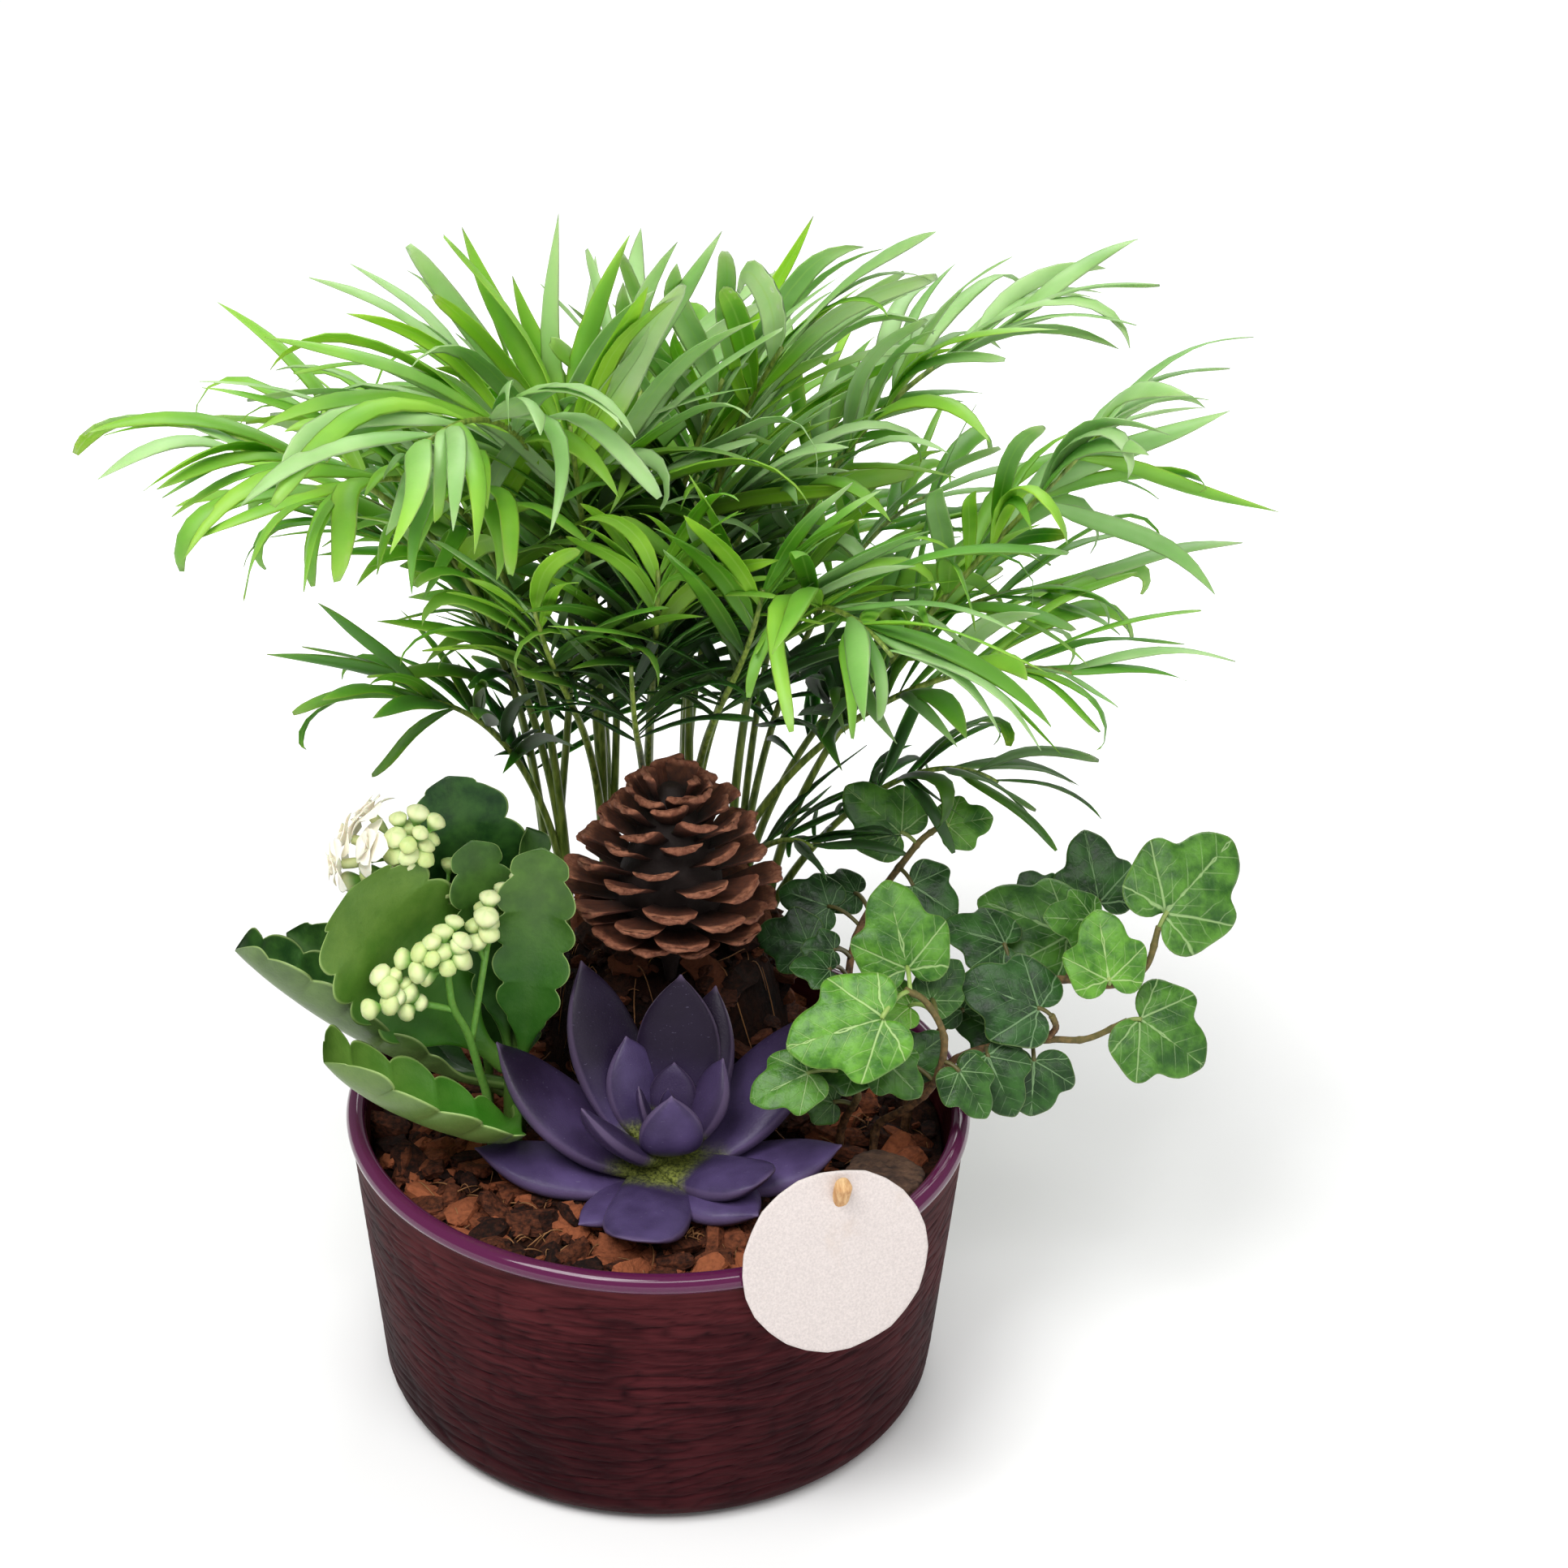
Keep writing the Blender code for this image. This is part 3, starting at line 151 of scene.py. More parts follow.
def finish(name, paint, **fixed):
    """A Principled material. paint is given a wire and says what feeds which socket."""
    material = bpy.data.materials.new(name)
    material.use_nodes = True
    tree = material.node_tree
    shader = tree.nodes["Principled BSDF"]
    for socket, value in fixed.items():
        shader.inputs[socket.replace("_", " ")].default_value = value
    for socket, wire in paint(Wire(tree)).items():
        tree.links.new(wire.socket, shader.inputs[socket])
    return material


def smooth_through(places, stops, values):
    """A smooth curve through values at stops, read at places: between two stops a cubic whose
    slope at each is the slope from the stop before it to the stop after it."""
    stops, values = np.asarray(stops, float), np.asarray(values, float)
    places = np.clip(places, stops[0], stops[-1])
    slopes = np.gradient(values, stops, axis=0)
    low = np.clip(np.searchsorted(stops, places, "right") - 1, 0, len(stops) - 2)
    span = stops[low + 1] - stops[low]
    t = (places - stops[low]) / span
    if values.ndim > 1:
        t, span = t[..., None], span[..., None]
    start = (1 + 2 * t) * (1 - t) ** 2 * values[low] + t * (1 - t) ** 2 * span * slopes[low]
    return start + t**2 * (3 - 2 * t) * values[low + 1] + t**2 * (t - 1) * span * slopes[low + 1]


def ripple(first, second, waves, turns, pitch, seed):
    """Random field of about -1 to 1: cosines of turns * first + second / pitch + phase, added up.
    turns are whole numbers when first is an angle, so that the field closes on itself."""
    draw = np.random.default_rng(seed)
    total = 0
    for _ in range(waves):
        turn, height = draw.integers(*turns) * draw.choice([-1, 1]), 2 * pi / draw.uniform(*pitch)
        total = total + np.cos(turn * first + height * second + draw.uniform(0, 2 * pi))
    return total / sqrt(waves)


def with_poles(grids):
    """The rows of n grids one after the other, between the means of their first and last row."""
    first, last = grids[:, :1].mean(2), grids[:, -1:].mean(2)
    return np.concatenate([first, grids.reshape(len(grids), -1, *grids.shape[3:]), last], 1)


def piece(name, parts, finishes, slot, *nodes):
    """One closed-shelled object that rides on the root and stands for these CAD nodes.

    A part is a stack of n shells, each rows by columns of points, then its finish's number, the
    numbers its points carry by name (0 where they aren't given), and whether it is smooth. Columns
    close round, each end row closes on its mean, and the faces turn so that the shells hold a
    positive volume.
    """
    spots, corners, faces, smooth, numbers, marks = [], [], [], [], [], {}
    for stack, number, carried, is_smooth in parts:
        n, rows, columns = stack.shape[:3]
        shells = with_poles(stack)
        grid = 1 + np.arange(rows * columns).reshape(rows, columns)
        after = np.roll(grid, -1, 1)
        quads = np.stack([grid[:-1], after[:-1], after[1:], grid[1:]], -1).reshape(-1, 4)
        last = np.full(columns, rows * columns + 1)
        fans = np.concatenate([np.stack([0 * last, after[0], grid[0]], -1),
                               np.stack([grid[-1], after[-1], last], -1)])
        halves = np.concatenate([quads[:, :3], quads[:, [0, 2, 3]], fans])
        a, b, c = (shells[:, halves[:, side]] - shells[:, :1] for side in range(3))
        if np.einsum("nij,nij->", a, np.cross(b, c)) < 0:
            quads, fans = quads[:, ::-1], fans[:, ::-1]
        start = sum(len(group) for group in spots)
        starts = start + np.arange(n)[:, None, None] * shells.shape[1]
        for group in (quads, fans):
            corners.append((starts + group).reshape(-1))
            faces.append(np.full(n * len(group), group.shape[1]))
        spots.append(shells.reshape(-1, 3))
        smooth.append(np.full(n * (len(quads) + len(fans)), is_smooth))
        numbers.append(np.full(n * (len(quads) + len(fans)), number))
        for mark, values in carried.items():
            values = with_poles(np.broadcast_to(values, (n, rows, columns)))
            marks.setdefault(mark, []).append((start, values.reshape(-1)))
    spots, corners, faces = (np.concatenate(group) for group in (spots, corners, faces))
    mesh = bpy.data.meshes.new(name)
    mesh.vertices.add(len(spots))
    mesh.vertices.foreach_set("co", spots.ravel())
    mesh.loops.add(len(corners))
    mesh.loops.foreach_set("vertex_index", corners)
    mesh.polygons.add(len(faces))
    mesh.polygons.foreach_set("loop_start", np.cumsum(faces) - faces)
    mesh.update(calc_edges=True)
    mesh.polygons.foreach_set("use_smooth", np.concatenate(smooth))
    mesh.polygons.foreach_set("material_index", np.concatenate(numbers))
    for mark, groups in marks.items():
        values = np.zeros(len(spots))
        for start, group in groups:
            values[start:start + len(group)] = group
        mesh.attributes.new(mark, "FLOAT", "POINT").data.foreach_set("value", values)
    for material in finishes:
        mesh.materials.append(material)
    obj = bpy.data.objects.new(name, mesh)
    bpy.context.scene.collection.objects.link(obj)
    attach(obj, "root")
    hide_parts(*nodes)


def arc(centre, radius, start, end, count):
    """Points on a circular arc in the X-Z plane, from one angle in degrees to another."""
    angles = np.radians(np.linspace(start, end, count))
    return np.stack([centre[0] + radius * np.cos(angles), centre[1] + radius * np.sin(angles)], -1)


def wall_radius(height):
    """Outside radius of the tapering wall: it grows evenly from the foot to the lip's underside."""
    return POT_FOOT_RADIUS + (POT_RADIUS - POT_LIP_STEP - POT_FOOT_RADIUS) * height / POT_HEIGHT


def throw_pot():
    """The profile (radius, height) turned about Z. On the wall the radius is cut by grooves, where
    a field of waves that run round the pot and change quickly with height passes through 0. They
    fade out below the lip and above the foot."""
    inner = wall_radius(POT_FLOOR) - POT_WALL
    low, high = POT_FOOT_ROUND, POT_HEIGHT - 2 * POT_LIP
    corner, bend = inner - POT_CORNER, POT_FLOOR + POT_CORNER
    heights = np.linspace(high, low, 150)
    wall = np.stack([wall_radius(heights), heights], -1)
    profile = np.concatenate([
        [(POT_POLE, POT_FLOOR), (inner * 0.5, POT_FLOOR), (corner, POT_FLOOR)],
        arc((corner, bend), POT_CORNER, -70, 0, 5),
        np.stack([np.linspace(inner, POT_RADIUS - 2 * POT_LIP, 9)[1:-1],
                  np.linspace(bend, POT_HEIGHT - POT_LIP, 9)[1:-1]], -1),
        arc((POT_RADIUS - POT_LIP, POT_HEIGHT - POT_LIP), POT_LIP, 180, -52, 22),
        wall[1:],
        arc((wall_radius(low) - low, low), low, -8, -90, 12),
        [(0.5 * POT_FOOT_RADIUS, 0), (POT_POLE, 0)],
    ])
    angle = np.arange(POT_COLUMNS) * 2 * pi / POT_COLUMNS
    radius, height = profile[:, :1] + 0 * angle, profile[:, 1:] + 0 * angle
    outside = radius > wall_radius(height) - 1.2 * MM
    share = outside * np.clip((high - 1 * MM - height) / (6 * MM), 0, 1)
    share = share * np.clip((height - 1 * MM) / (7 * MM), 0, 1)
    cut = 0
    for *waves, width in GROOVE_SETS:
        cut = cut + 0.6 * np.exp(-(ripple(angle, height, *waves) / width) ** 2)
    radius = radius - GROOVE_DEPTH * share * cut
    stack = np.stack([radius * np.cos(angle), radius * np.sin(angle), height], -1)
    return stack[None], {"groove": (cut * share)[None]}


def plum_glaze(wire):
    place = wire.place()
    height = place.part(2)
    lip = height.step(POT_HEIGHT - 5.6 * MM, POT_HEIGHT - 4.6 * MM)
    groove, cloud = wire.mark("groove"), place.noise(38, 4)
    streaks = place.stretched(50, 50, 520).noise(1, 4, 0.6)
    wall = (cloud * 0.5 + streaks * 0.5).step(0.32, 0.7).mix(colour(38, 9, 14), colour(84, 34, 38))
    # Painted shade: the grooves are darkened.
    wall = (groove * 0.8).mix(wall, colour(26, 5, 10))
    # Painted shade: the wall darkens towards the foot.
    wall = (height.step(74 * MM, 5 * MM) * 0.5).mix(wall, colour(28, 7, 12))
    relief = ((1 - groove) * 0.5 + streaks * 0.5).bump(0.5 * MM, 0.7)
    return {
        "Base Color": lip.mix(wall, colour(84, 24, 64)),
        "Roughness": (0.48 + cloud * 0.12) * (1 - lip) + lip * 0.16,
        "Coat Weight": lip * 0.8,
        "Normal": relief,
    }


PLUM_GLAZE = finish("plum_glaze", plum_glaze, Coat_Roughness=0.08, Specular_IOR_Level=0.04)
stack, marks = throw_pot()
piece("glazed_pot", [(stack, 0, marks, True)], [PLUM_GLAZE], "plum_glaze", "pot")

# Potting mix: shredded bark with coir fibre, pressed into the pot to below its lip and heaped up
# over the palm's root ball. The chips on top are loose split pieces, 3 to 17 mm long.

SOIL_LEVEL, SOIL_RADIUS = 84 * MM, 91.6 * MM
MOUND_CENTRE, MOUND_SPREAD, MOUND_RISE = (4, 51), (42, 47), 46 * MM
CHIPS, FIBRES = 1150, 420
# Painted shade on the mix: its middle, how far out it is full, and where it ends.
SOIL_SHADE_CENTRE, SOIL_SHADE_WITHIN, SOIL_SHADE_FROM = (4 * MM, 22 * MM), 34 * MM, 62 * MM
UP = np.array([0, 0, 1.0])
# Where stems, the peg and the bark slab come out of the mix, and their radius there. No chip
# lies on them.
BARE_SPOTS = [
    (3, -33, 7), (4, 20, 3), (-46, -6, 4), (-53, -14, 2), (-55, 6, 2), (69, -12, 2), (58, -13, 2),
    (80, -2, 2), (82, 12, 2), (62, 12, 2), (-30, 60, 3), (-36, 71, 3), (-18, 63, 3), (-16, 82, 3),
    (-4, 69, 3), (10, 62, 3), (8, 84, 3), (24, 65, 3), (27, 79, 3), (37, 67, 3), (50, -71, 4),
    (69, -34, 12.5),
]


def unit(vectors):
    """The same directions with length 1."""
    return vectors / np.linalg.norm(vectors, axis=-1, keepdims=True)


def smooth_step(values):
    """0 below 0, 1 above 1, and a smooth S between."""
    values = np.clip(values, 0, 1)
    return values * values * (3 - 2 * values)


def soil_height(x, y):
    """Height of the mix: level at the edge, higher over the root ball, with small waves."""
    distance = np.hypot((x / MM - MOUND_CENTRE[0]) / MOUND_SPREAD[0],
                        (y / MM - MOUND_CENTRE[1]) / MOUND_SPREAD[1])
    edge = smooth_step((0.99 - np.hypot(x, y) / (93 * MM)) / 0.19)
    mound = (1 - smooth_step((distance - 0.7) / 0.4)) * edge
    waves = np.sin(x * 190 + 1) * np.sin(y * 170 + 2) + 0.6 * np.sin((x + y) * 330)
    return SOIL_LEVEL + MOUND_RISE * mound + 0.9 * MM * waves


def soil_bed():
    """Rings from the middle of the top out to the wall, then down to the pot's floor. The height
    is that of the mix plus crumbs, the product of two random fields in x and y."""
    reach = np.concatenate([np.linspace(0.4 * MM, SOIL_RADIUS, 66), [85 * MM, 80 * MM, 1 * MM]])
    angle = np.arange(168) * 2 * pi / 168
    x, y = reach[:, None] * np.cos(angle), reach[:, None] * np.sin(angle)
    crumbs = ripple(x / MM, y, 40, (1, 3), (4 * MM, 14 * MM), 2)
    crumbs = crumbs * ripple(y / MM, x, 40, (1, 3), (3 * MM, 9 * MM), 5)
    height = soil_height(x, y) + 0.9 * MM * crumbs - 1 * MM
    height[-3], height[-2:] = POT_FLOOR + 8 * MM, POT_FLOOR + 0.6 * MM
    return np.stack([x, y, height], -1)[None]


def turned_frames(turn, tilt, roll):
    """Three square directions for each of n pieces: turned about Z, tilted and rolled."""
    along = np.stack([np.cos(turn) * np.cos(tilt), np.sin(turn) * np.cos(tilt), np.sin(tilt)], -1)
    level = np.stack([-np.sin(turn), np.cos(turn), 0 * turn], -1)
    top = np.cross(along, level)
    across = level * np.cos(roll)[:, None] + top * np.sin(roll)[:, None]
    return along, across, np.cross(along, across)


def offsets(grids, sizes, directions):
    """n grids of numbers as vectors: each number times its piece's size, along its direction."""
    return (grids * sizes[:, None, None])[..., None] * directions[:, None, None]


def bark_chips(draw):
    """Rough split pieces: six rings of seven points round a long axis, each point pushed in or
    out at random, lying on the mix at any angle."""
    reach = 90 * MM * np.sqrt(draw.uniform(0, 1, 4 * CHIPS))
    angle = draw.uniform(0, 2 * pi, 4 * CHIPS)
    x, y = reach * np.cos(angle), reach * np.sin(angle)
    free = np.ones(len(x), bool)
    for a, b, r in BARE_SPOTS:
        free &= np.hypot(x / MM - a, y / MM - b) > r + 2.5
    free &= np.hypot(x, y) < 88 * MM
    x, y = x[free][:CHIPS], y[free][:CHIPS]
    n = len(x)
    size = draw.uniform(0, 1, n) ** 1.9
    length, wide, deep = (1.5 + 6.8 * size) * MM, (1.1 + 4.2 * size) * MM, (0.8 + 2.2 * size) * MM
    along, across, top = turned_frames(
        draw.uniform(0, 2 * pi, n), draw.normal(0, 0.3, n), draw.normal(0, 0.45, n))
    centre = np.stack([x, y, soil_height(x, y) + deep * draw.uniform(-0.1, 0.9, n)], -1)
    rows = np.array([-1, -0.9, -0.35, 0.3, 0.88, 1.0])
    girth = np.array([0.35, 0.8, 1.0, 1.0, 0.75, 0.3])
    around = np.arange(7) * 2 * pi / 7 + draw.uniform(0, 1, (n, 1))
    push = draw.uniform(0.68, 1.15, (n, 6, 7)) * girth[:, None]
    skew = rows[None, :, None] + draw.uniform(-0.13, 0.13, (n, 6, 7))
    square = 1 / np.maximum(abs(np.cos(around)), abs(np.sin(around))) ** 0.7
    side = push * (np.cos(around) * square)[:, None]
    lift = push * (np.sin(around) * square)[:, None]
    stack = centre[:, None, None] + offsets(skew, length, along) + offsets(side, wide, across)
    return stack + offsets(lift, deep, top), {"tint": draw.uniform(0, 1, n)[:, None, None]}


def tubes(lines, radii, sides):
    """Round tubes: rings of the given radii about n lines of points, square to each line."""
    headings = unit(np.gradient(lines, axis=1))
    across = unit(np.cross(headings, (0.31, 0.95, 0.05)))
    up = np.cross(headings, across)
    angle = np.arange(sides) * 2 * pi / sides
    ring = np.cos(angle)[:, None] * across[:, :, None] + np.sin(angle)[:, None] * up[:, :, None]
    return lines[:, :, None] + np.asarray(radii)[..., None, None] * ring


def coir_fibres(draw):
    """Thin bowed hairs: lines with a random curve that rise a little from the mix and fall back."""
    reach = 84 * MM * np.sqrt(draw.uniform(0, 1, FIBRES))
    angle = draw.uniform(0, 2 * pi, FIBRES)
    x, y = reach * np.cos(angle), reach * np.sin(angle)
    turn, bend = draw.uniform(0, 2 * pi, FIBRES), draw.normal(0, 1.1, FIBRES)
    length = draw.uniform(5, 17, FIBRES) * MM
    place = np.linspace(0, 1, 7)
    heading = turn[:, None] + bend[:, None] * place
    xs = x[:, None] + length[:, None] * np.cumsum(np.cos(heading), 1) / 7
    ys = y[:, None] + length[:, None] * np.cumsum(np.sin(heading), 1) / 7
    inside = np.hypot(xs, ys).max(1) < 90 * MM
    rise = draw.uniform(1.2, 3.2, FIBRES)[:, None] * MM * (0.25 + np.sin(pi * place))
    zs = soil_height(xs, ys) + rise
    lines = np.stack([xs, ys, zs], -1)[inside]
    return tubes(lines, 0.16 * MM + 0.1 * MM * np.sin(pi * place) + 0 * lines[:, :, 0], 3)


def soil_shade(place):
    """Painted shade on the mix: darkest round the foot of the cone, and nothing further out."""
    x, y = place.part(0) - SOIL_SHADE_CENTRE[0], place.part(1) - SOIL_SHADE_CENTRE[1]
    return (x * x + y * y).step(SOIL_SHADE_FROM**2, SOIL_SHADE_WITHIN**2) * 0.62


def potting_mix(wire):
    place = wire.place()
    grain = place.noise(420, 6, 0.65)
    lumps = place.noise(90, 3)
    shade = (grain * 0.6 + lumps * 0.5).step(0.42, 0.72)
    earth = shade.mix(colour(14, 6, 4), colour(66, 35, 22))
    return {
        # Painted shade: the mix darkens towards the foot of the cone.
        "Base Color": soil_shade(place).mix(earth, colour(16, 8, 6)),
        "Normal": (grain + lumps).bump(1.6 * MM, 0.9),
    }


def split_bark(wire):
    place, tint = wire.place(), wire.mark("tint")
    grain = place.stretched(1, 1, 2.2).noise(520, 5, 0.6)
    light = tint.mix(colour(78, 38, 24), colour(158, 90, 58))
    dark = tint.step(0.5, 1.0).mix(colour(22, 10, 7), colour(86, 44, 28))
    bark = (grain * 0.75 + tint * 0.35).step(0.3, 0.8).mix(dark, light)
    return {
        # Painted shade: the chips darken towards the foot of the cone.
        "Base Color": soil_shade(place).mix(bark, colour(20, 10, 7)),
        "Normal": grain.bump(0.9 * MM, 0.8),
    }


def coir(wire):
    return {"Base Color": wire.place().noise(60).mix(colour(70, 36, 20), colour(176, 124, 74))}


POTTING_MIX = finish("potting_mix", potting_mix, Roughness=0.95, Specular_IOR_Level=0.15)
SPLIT_BARK = finish("split_bark", split_bark, Roughness=0.85, Specular_IOR_Level=0.2)
COIR = finish("coir", coir, Roughness=0.7)
draw = np.random.default_rng(8)
chips, marks = bark_chips(draw)
piece("potting_mix", [
    (soil_bed(), 0, {}, True), (chips, 1, marks, False), (coir_fibres(draw), 2, {}, True),
], [POTTING_MIX, SPLIT_BARK, COIR], "potting_mix", "potting_soil")

# Bark slab: one big flat flake that lies in the mix at the right, split along its grain.

SLAB_CENTRE, SLAB_THICKNESS = np.array([69, -34, 85.3]) * MM, 4.5 * MM
SLAB_REACH = [14, 12.5, 13.5, 11, 12.5, 14.5, 12]


def bark_slab():
    """Rings from the middle of the top out to the edge, round it and back below. The outline
    passes smoothly through seven reaches, and the top is ruffled by a random field."""
    angle = np.arange(84) * 2 * pi / 84
    turns = np.arange(-2, len(SLAB_REACH) + 3)
    reach = np.array(SLAB_REACH)[turns % len(SLAB_REACH)]
    outline = smooth_through(angle, turns * 2 * pi / len(SLAB_REACH), reach) * MM
    outline = outline * (1 + 0.02 * np.sin(9 * angle) + 0.012 * np.sin(23 * angle + 1))
    share = np.array([0.02, *np.linspace(0.1, 0.94, 12), 0.99, 1.0, 1.0, 0.98, 0.6, 0.02])[:, None]
    level = np.array([*np.ones(13), 0.93, 0.75, 0.3, 0, 0, 0])[:, None]
    x, y = share * outline * np.cos(angle), share * outline * 0.85 * np.sin(angle)
    rough = ripple(x / MM, y, 30, (1, 3), (2.5 * MM, 8 * MM), 3) * 0.3 * MM * level * (share < 0.97)
    height = y * 0.12 + level * SLAB_THICKNESS * (1 + 0.12 * (1 - share**2)) + rough
    return (SLAB_CENTRE + np.stack([x, y, height], -1))[None]


def old_bark(wire):
    place = wire.place()
    grain = place.stretched(1, 3.2, 1).noise(170, 6, 0.65)
    worn = place.noise(70, 3)
    base = (grain * 0.7 + worn * 0.4).step(0.35, 0.75).mix(colour(46, 30, 24), colour(112, 82, 62))
    return {"Base Color": base, "Normal": grain.bump(1.2 * MM, 0.9)}


OLD_BARK = finish("old_bark", old_bark, Roughness=0.85)
piece("bark_flake", [(bark_slab(), 0, {}, True)], [OLD_BARK], "bark", "bark_slab")

# Echeveria: one living rosette of fleshy leaves, brushed with purple paint that stops short of
# the green, downy leaf bases. It stands on a short stem in the mix.

ECHEVERIA_FOOT, FLESHY_THICKNESS, HEART_FOOT = np.array([3, -33, 91]) * MM, 8.4 * MM, 12
# Each leaf: its tip, its width, how far its middle bows down, the height of its foot above the
# lowest leaf, and whether its end is blunt.
ECHEVERIA_LEAVES = [
    ((-57, -32, 98), 26, 5, 0, 0), ((57, -32, 99), 26, 5, 0, 0), ((-24, -62, 91), 17, 2, 0, 0),
    ((30, -63, 95), 25, 2, 0, 0), ((-50, -20, 129), 31, 7, 1, 0), ((51, 0, 128), 30, 6, 1, 0),
    ((18, -6, 141), 22, 5, 2, 0), ((-24, -6, 150), 28, 6, 2, 0), ((7, -11, 148), 29, 6, 4, 0),
    ((-7, -78, 97), 27, 4, 4, 1), ((33, -56, 104), 24, 4, 5, 1), ((-23, -49, 124), 19, 4, 6, 0),
    ((-10, -18, 130), 24, 5, 8, 0), ((20, -26, 127), 20, 4, 8, 0), ((5, -22, 123), 18, 3, 10, 0),
    ((-6, -34, 122), 11, 2, 10, 0), ((4, -44, 125), 22, 5, 8, 0), ((3, -32, 120), 7, 1, 12, 0),
]
POINTED = ([0, 0.18, 0.36, 0.5, 0.64, 0.77, 0.87, 0.94, 0.975, 1],
           [0.46, 0.74, 0.95, 1, 0.95, 0.77, 0.5, 0.24, 0.09, 0.02])
BLUNT = ([0, 0.22, 0.45, 0.66, 0.82, 0.92, 0.98, 1], [0.6, 0.84, 0.97, 1, 0.9, 0.68, 0.34, 0.02])


def bezier(start, first, second, end, shares):
    """Points on cubic curves from start to end, pulled towards first and second. Each may be one
    point or n of them."""
    t = np.asarray(shares)[:, None]
    start, first, second, end = (np.asarray(p)[..., None, :] for p in (start, first, second, end))
    points = (1 - t) ** 3 * start + 3 * (1 - t) ** 2 * t * first
    return points + 3 * (1 - t) * t**2 * second + t**3 * end


def bowed(start, end, near, far, bow, shares):
    """Points on curves from start to end, pulled by bow at the shares near and far from the two
    ends."""
    run = end - start
    return bezier(start, start + run * near + bow, end - run * far + bow, end, shares)


def blades(lines, across, normals, half, lift, over, under, columns, fullness=1):
    """Leaves with a round or lens-shaped section: on the ring at each point of a line, x goes
    from 1 to -1 over the top and back below, and the point is the line's plus x times the half
    width across and, along the normal, lift * x * x plus the thickness over or under. A fullness
    under 1 makes the edges rounder."""
    angle = np.arange(columns) * 2 * pi / columns
    x, s = np.cos(angle), np.sign(np.sin(angle)) * abs(np.sin(angle)) ** fullness
    deep = np.where(s > 0, over[..., None] * s, under[..., None] * s) + lift[..., None] * x * x
    grid = lines[..., None, :] + (half[..., None] * x)[..., None] * across[..., None, :]
    marks = {"across": x + 0 * deep, "below": (s < -0.05) + 0 * deep}
    return grid + deep[..., None] * normals[..., None, :], marks


def echeveria_leaves():
    """Boat-shaped leaves: a line that bows down in its middle, a width that follows the outline,
    and a section that is gently domed above and deep below."""
    tips, width, bow, height, blunt = (np.array(row, float) for row in zip(*ECHEVERIA_LEAVES))
    tips = tips * MM
    foot = ECHEVERIA_FOOT + height[:, None] * MM * UP
    heading = unit(tips - foot)
    across = unit(np.cross(heading, UP))
    normal = np.cross(across, heading)
    sunk = normal * bow[:, None] * 1.33 * MM
    shares = 1 - (1 - np.linspace(0, 1, 44)) ** 1.35
    lines = bowed(foot, tips, 0.33, 0.33, -sunk, shares)
    pointed, rounded = smooth_through(shares, *POINTED), smooth_through(shares, *BLUNT)
    outline = np.where(blunt[:, None] > 0, rounded, pointed)
    heart = height / HEART_FOOT
    half = (width * (1 - 0.16 * heart))[:, None] * MM / 2 * outline
    thick = FLESHY_THICKNESS * np.minimum(1, width / 24)[:, None]
    thick = thick * smooth_through(shares, [0, 0.35, 0.7, 0.9, 1], [0.8, 1.05, 0.82, 0.45, 0.06])
    over = (0.56 - 0.3 * np.exp(-((shares - 0.2) / 0.25) ** 2)) * thick
    under = 0.6 * thick * (1 + 0.12 * np.sin(shares * 9 + width[:, None]))
    stack, marks = blades(
        lines, across[:, None], normal[:, None], half, 0 * thick, over, under, 32, 0.7)
    tint = np.random.default_rng(6).uniform(0, 1, len(width))
    marks |= {"along": shares[:, None], "tint": tint[:, None, None], "heart": heart[:, None, None]}
    return stack, marks


def upright(x, y, heights, radii, sides):
    """A round stem: rings of the given radii at the given heights over one place."""
    line = np.stack([x + 0 * heights, y + 0 * heights, heights], -1)
    return tubes(line[None], radii[None], sides)


def purple_paint(wire):
    place = wire.place()
    along, across, below = wire.mark("along"), wire.mark("across"), wire.mark("below")
    cloud, speck = place.noise(55, 4), place.noise(1500, 2)
    scratch = place.stretched(1, 3, 5).noise(330, 3, 0.7).step(0.66, 0.74)
    height = place.part(2)
    paint = cloud.step(0.25, 0.75).mix(colour(54, 42, 76), colour(96, 80, 128))
    paint = (wire.mark("tint") * 0.4).mix(paint, colour(52, 34, 60))
    heart = wire.mark("heart")
    # Painted shade: the high parts of the outer leaves, which stand at the back, are darkened.
    raised = height.step(100 * MM, 128 * MM) * 0.9 * heart.step(0.6, 0.36)
    paint = raised.mix(paint, colour(20, 10, 26))
    # Painted shade: the upper faces of the inner leaves are darkened.
    paint = ((1 - below) * heart * 0.55).mix(paint, colour(30, 21, 42))
    # Painted shade: the undersides of the outer leaves are darkened.
    paint = (below * 0.75 * (1 - heart)).mix(paint, colour(40, 30, 52))
    # Painted shade: the inner leaves darken towards their edges.
    paint = (abs(across).step(0.5, 0.95) * heart * 0.5).mix(paint, colour(30, 20, 36))
    # Painted highlight: the rims and tips of the leaves are lightened.
    edge = abs(across).step(0.93, 1.0) * 0.28 + along.step(0.95, 1.0) * 0.3
    paint = edge.mix(paint, colour(132, 112, 146))
    paint = (speck.step(0.7, 0.8) * 0.3 + scratch * 0.25).mix(paint, colour(140, 130, 165))
    down = along + cloud * 0.35 - heart * 0.2
    bare = down.step(0.45, 0.27)
    green = place.noise(900, 3, 0.7).step(0.3, 0.7).mix(colour(52, 60, 24), colour(138, 146, 66))
    return {
        "Base Color": bare.mix(paint, green),
        "Roughness": 0.36 + speck * 0.15 + bare * 0.3,
        "Normal": (speck * 0.5 + cloud + bare * speck * 2 - scratch * 0.5).bump(0.35 * MM, 0.5),
    }


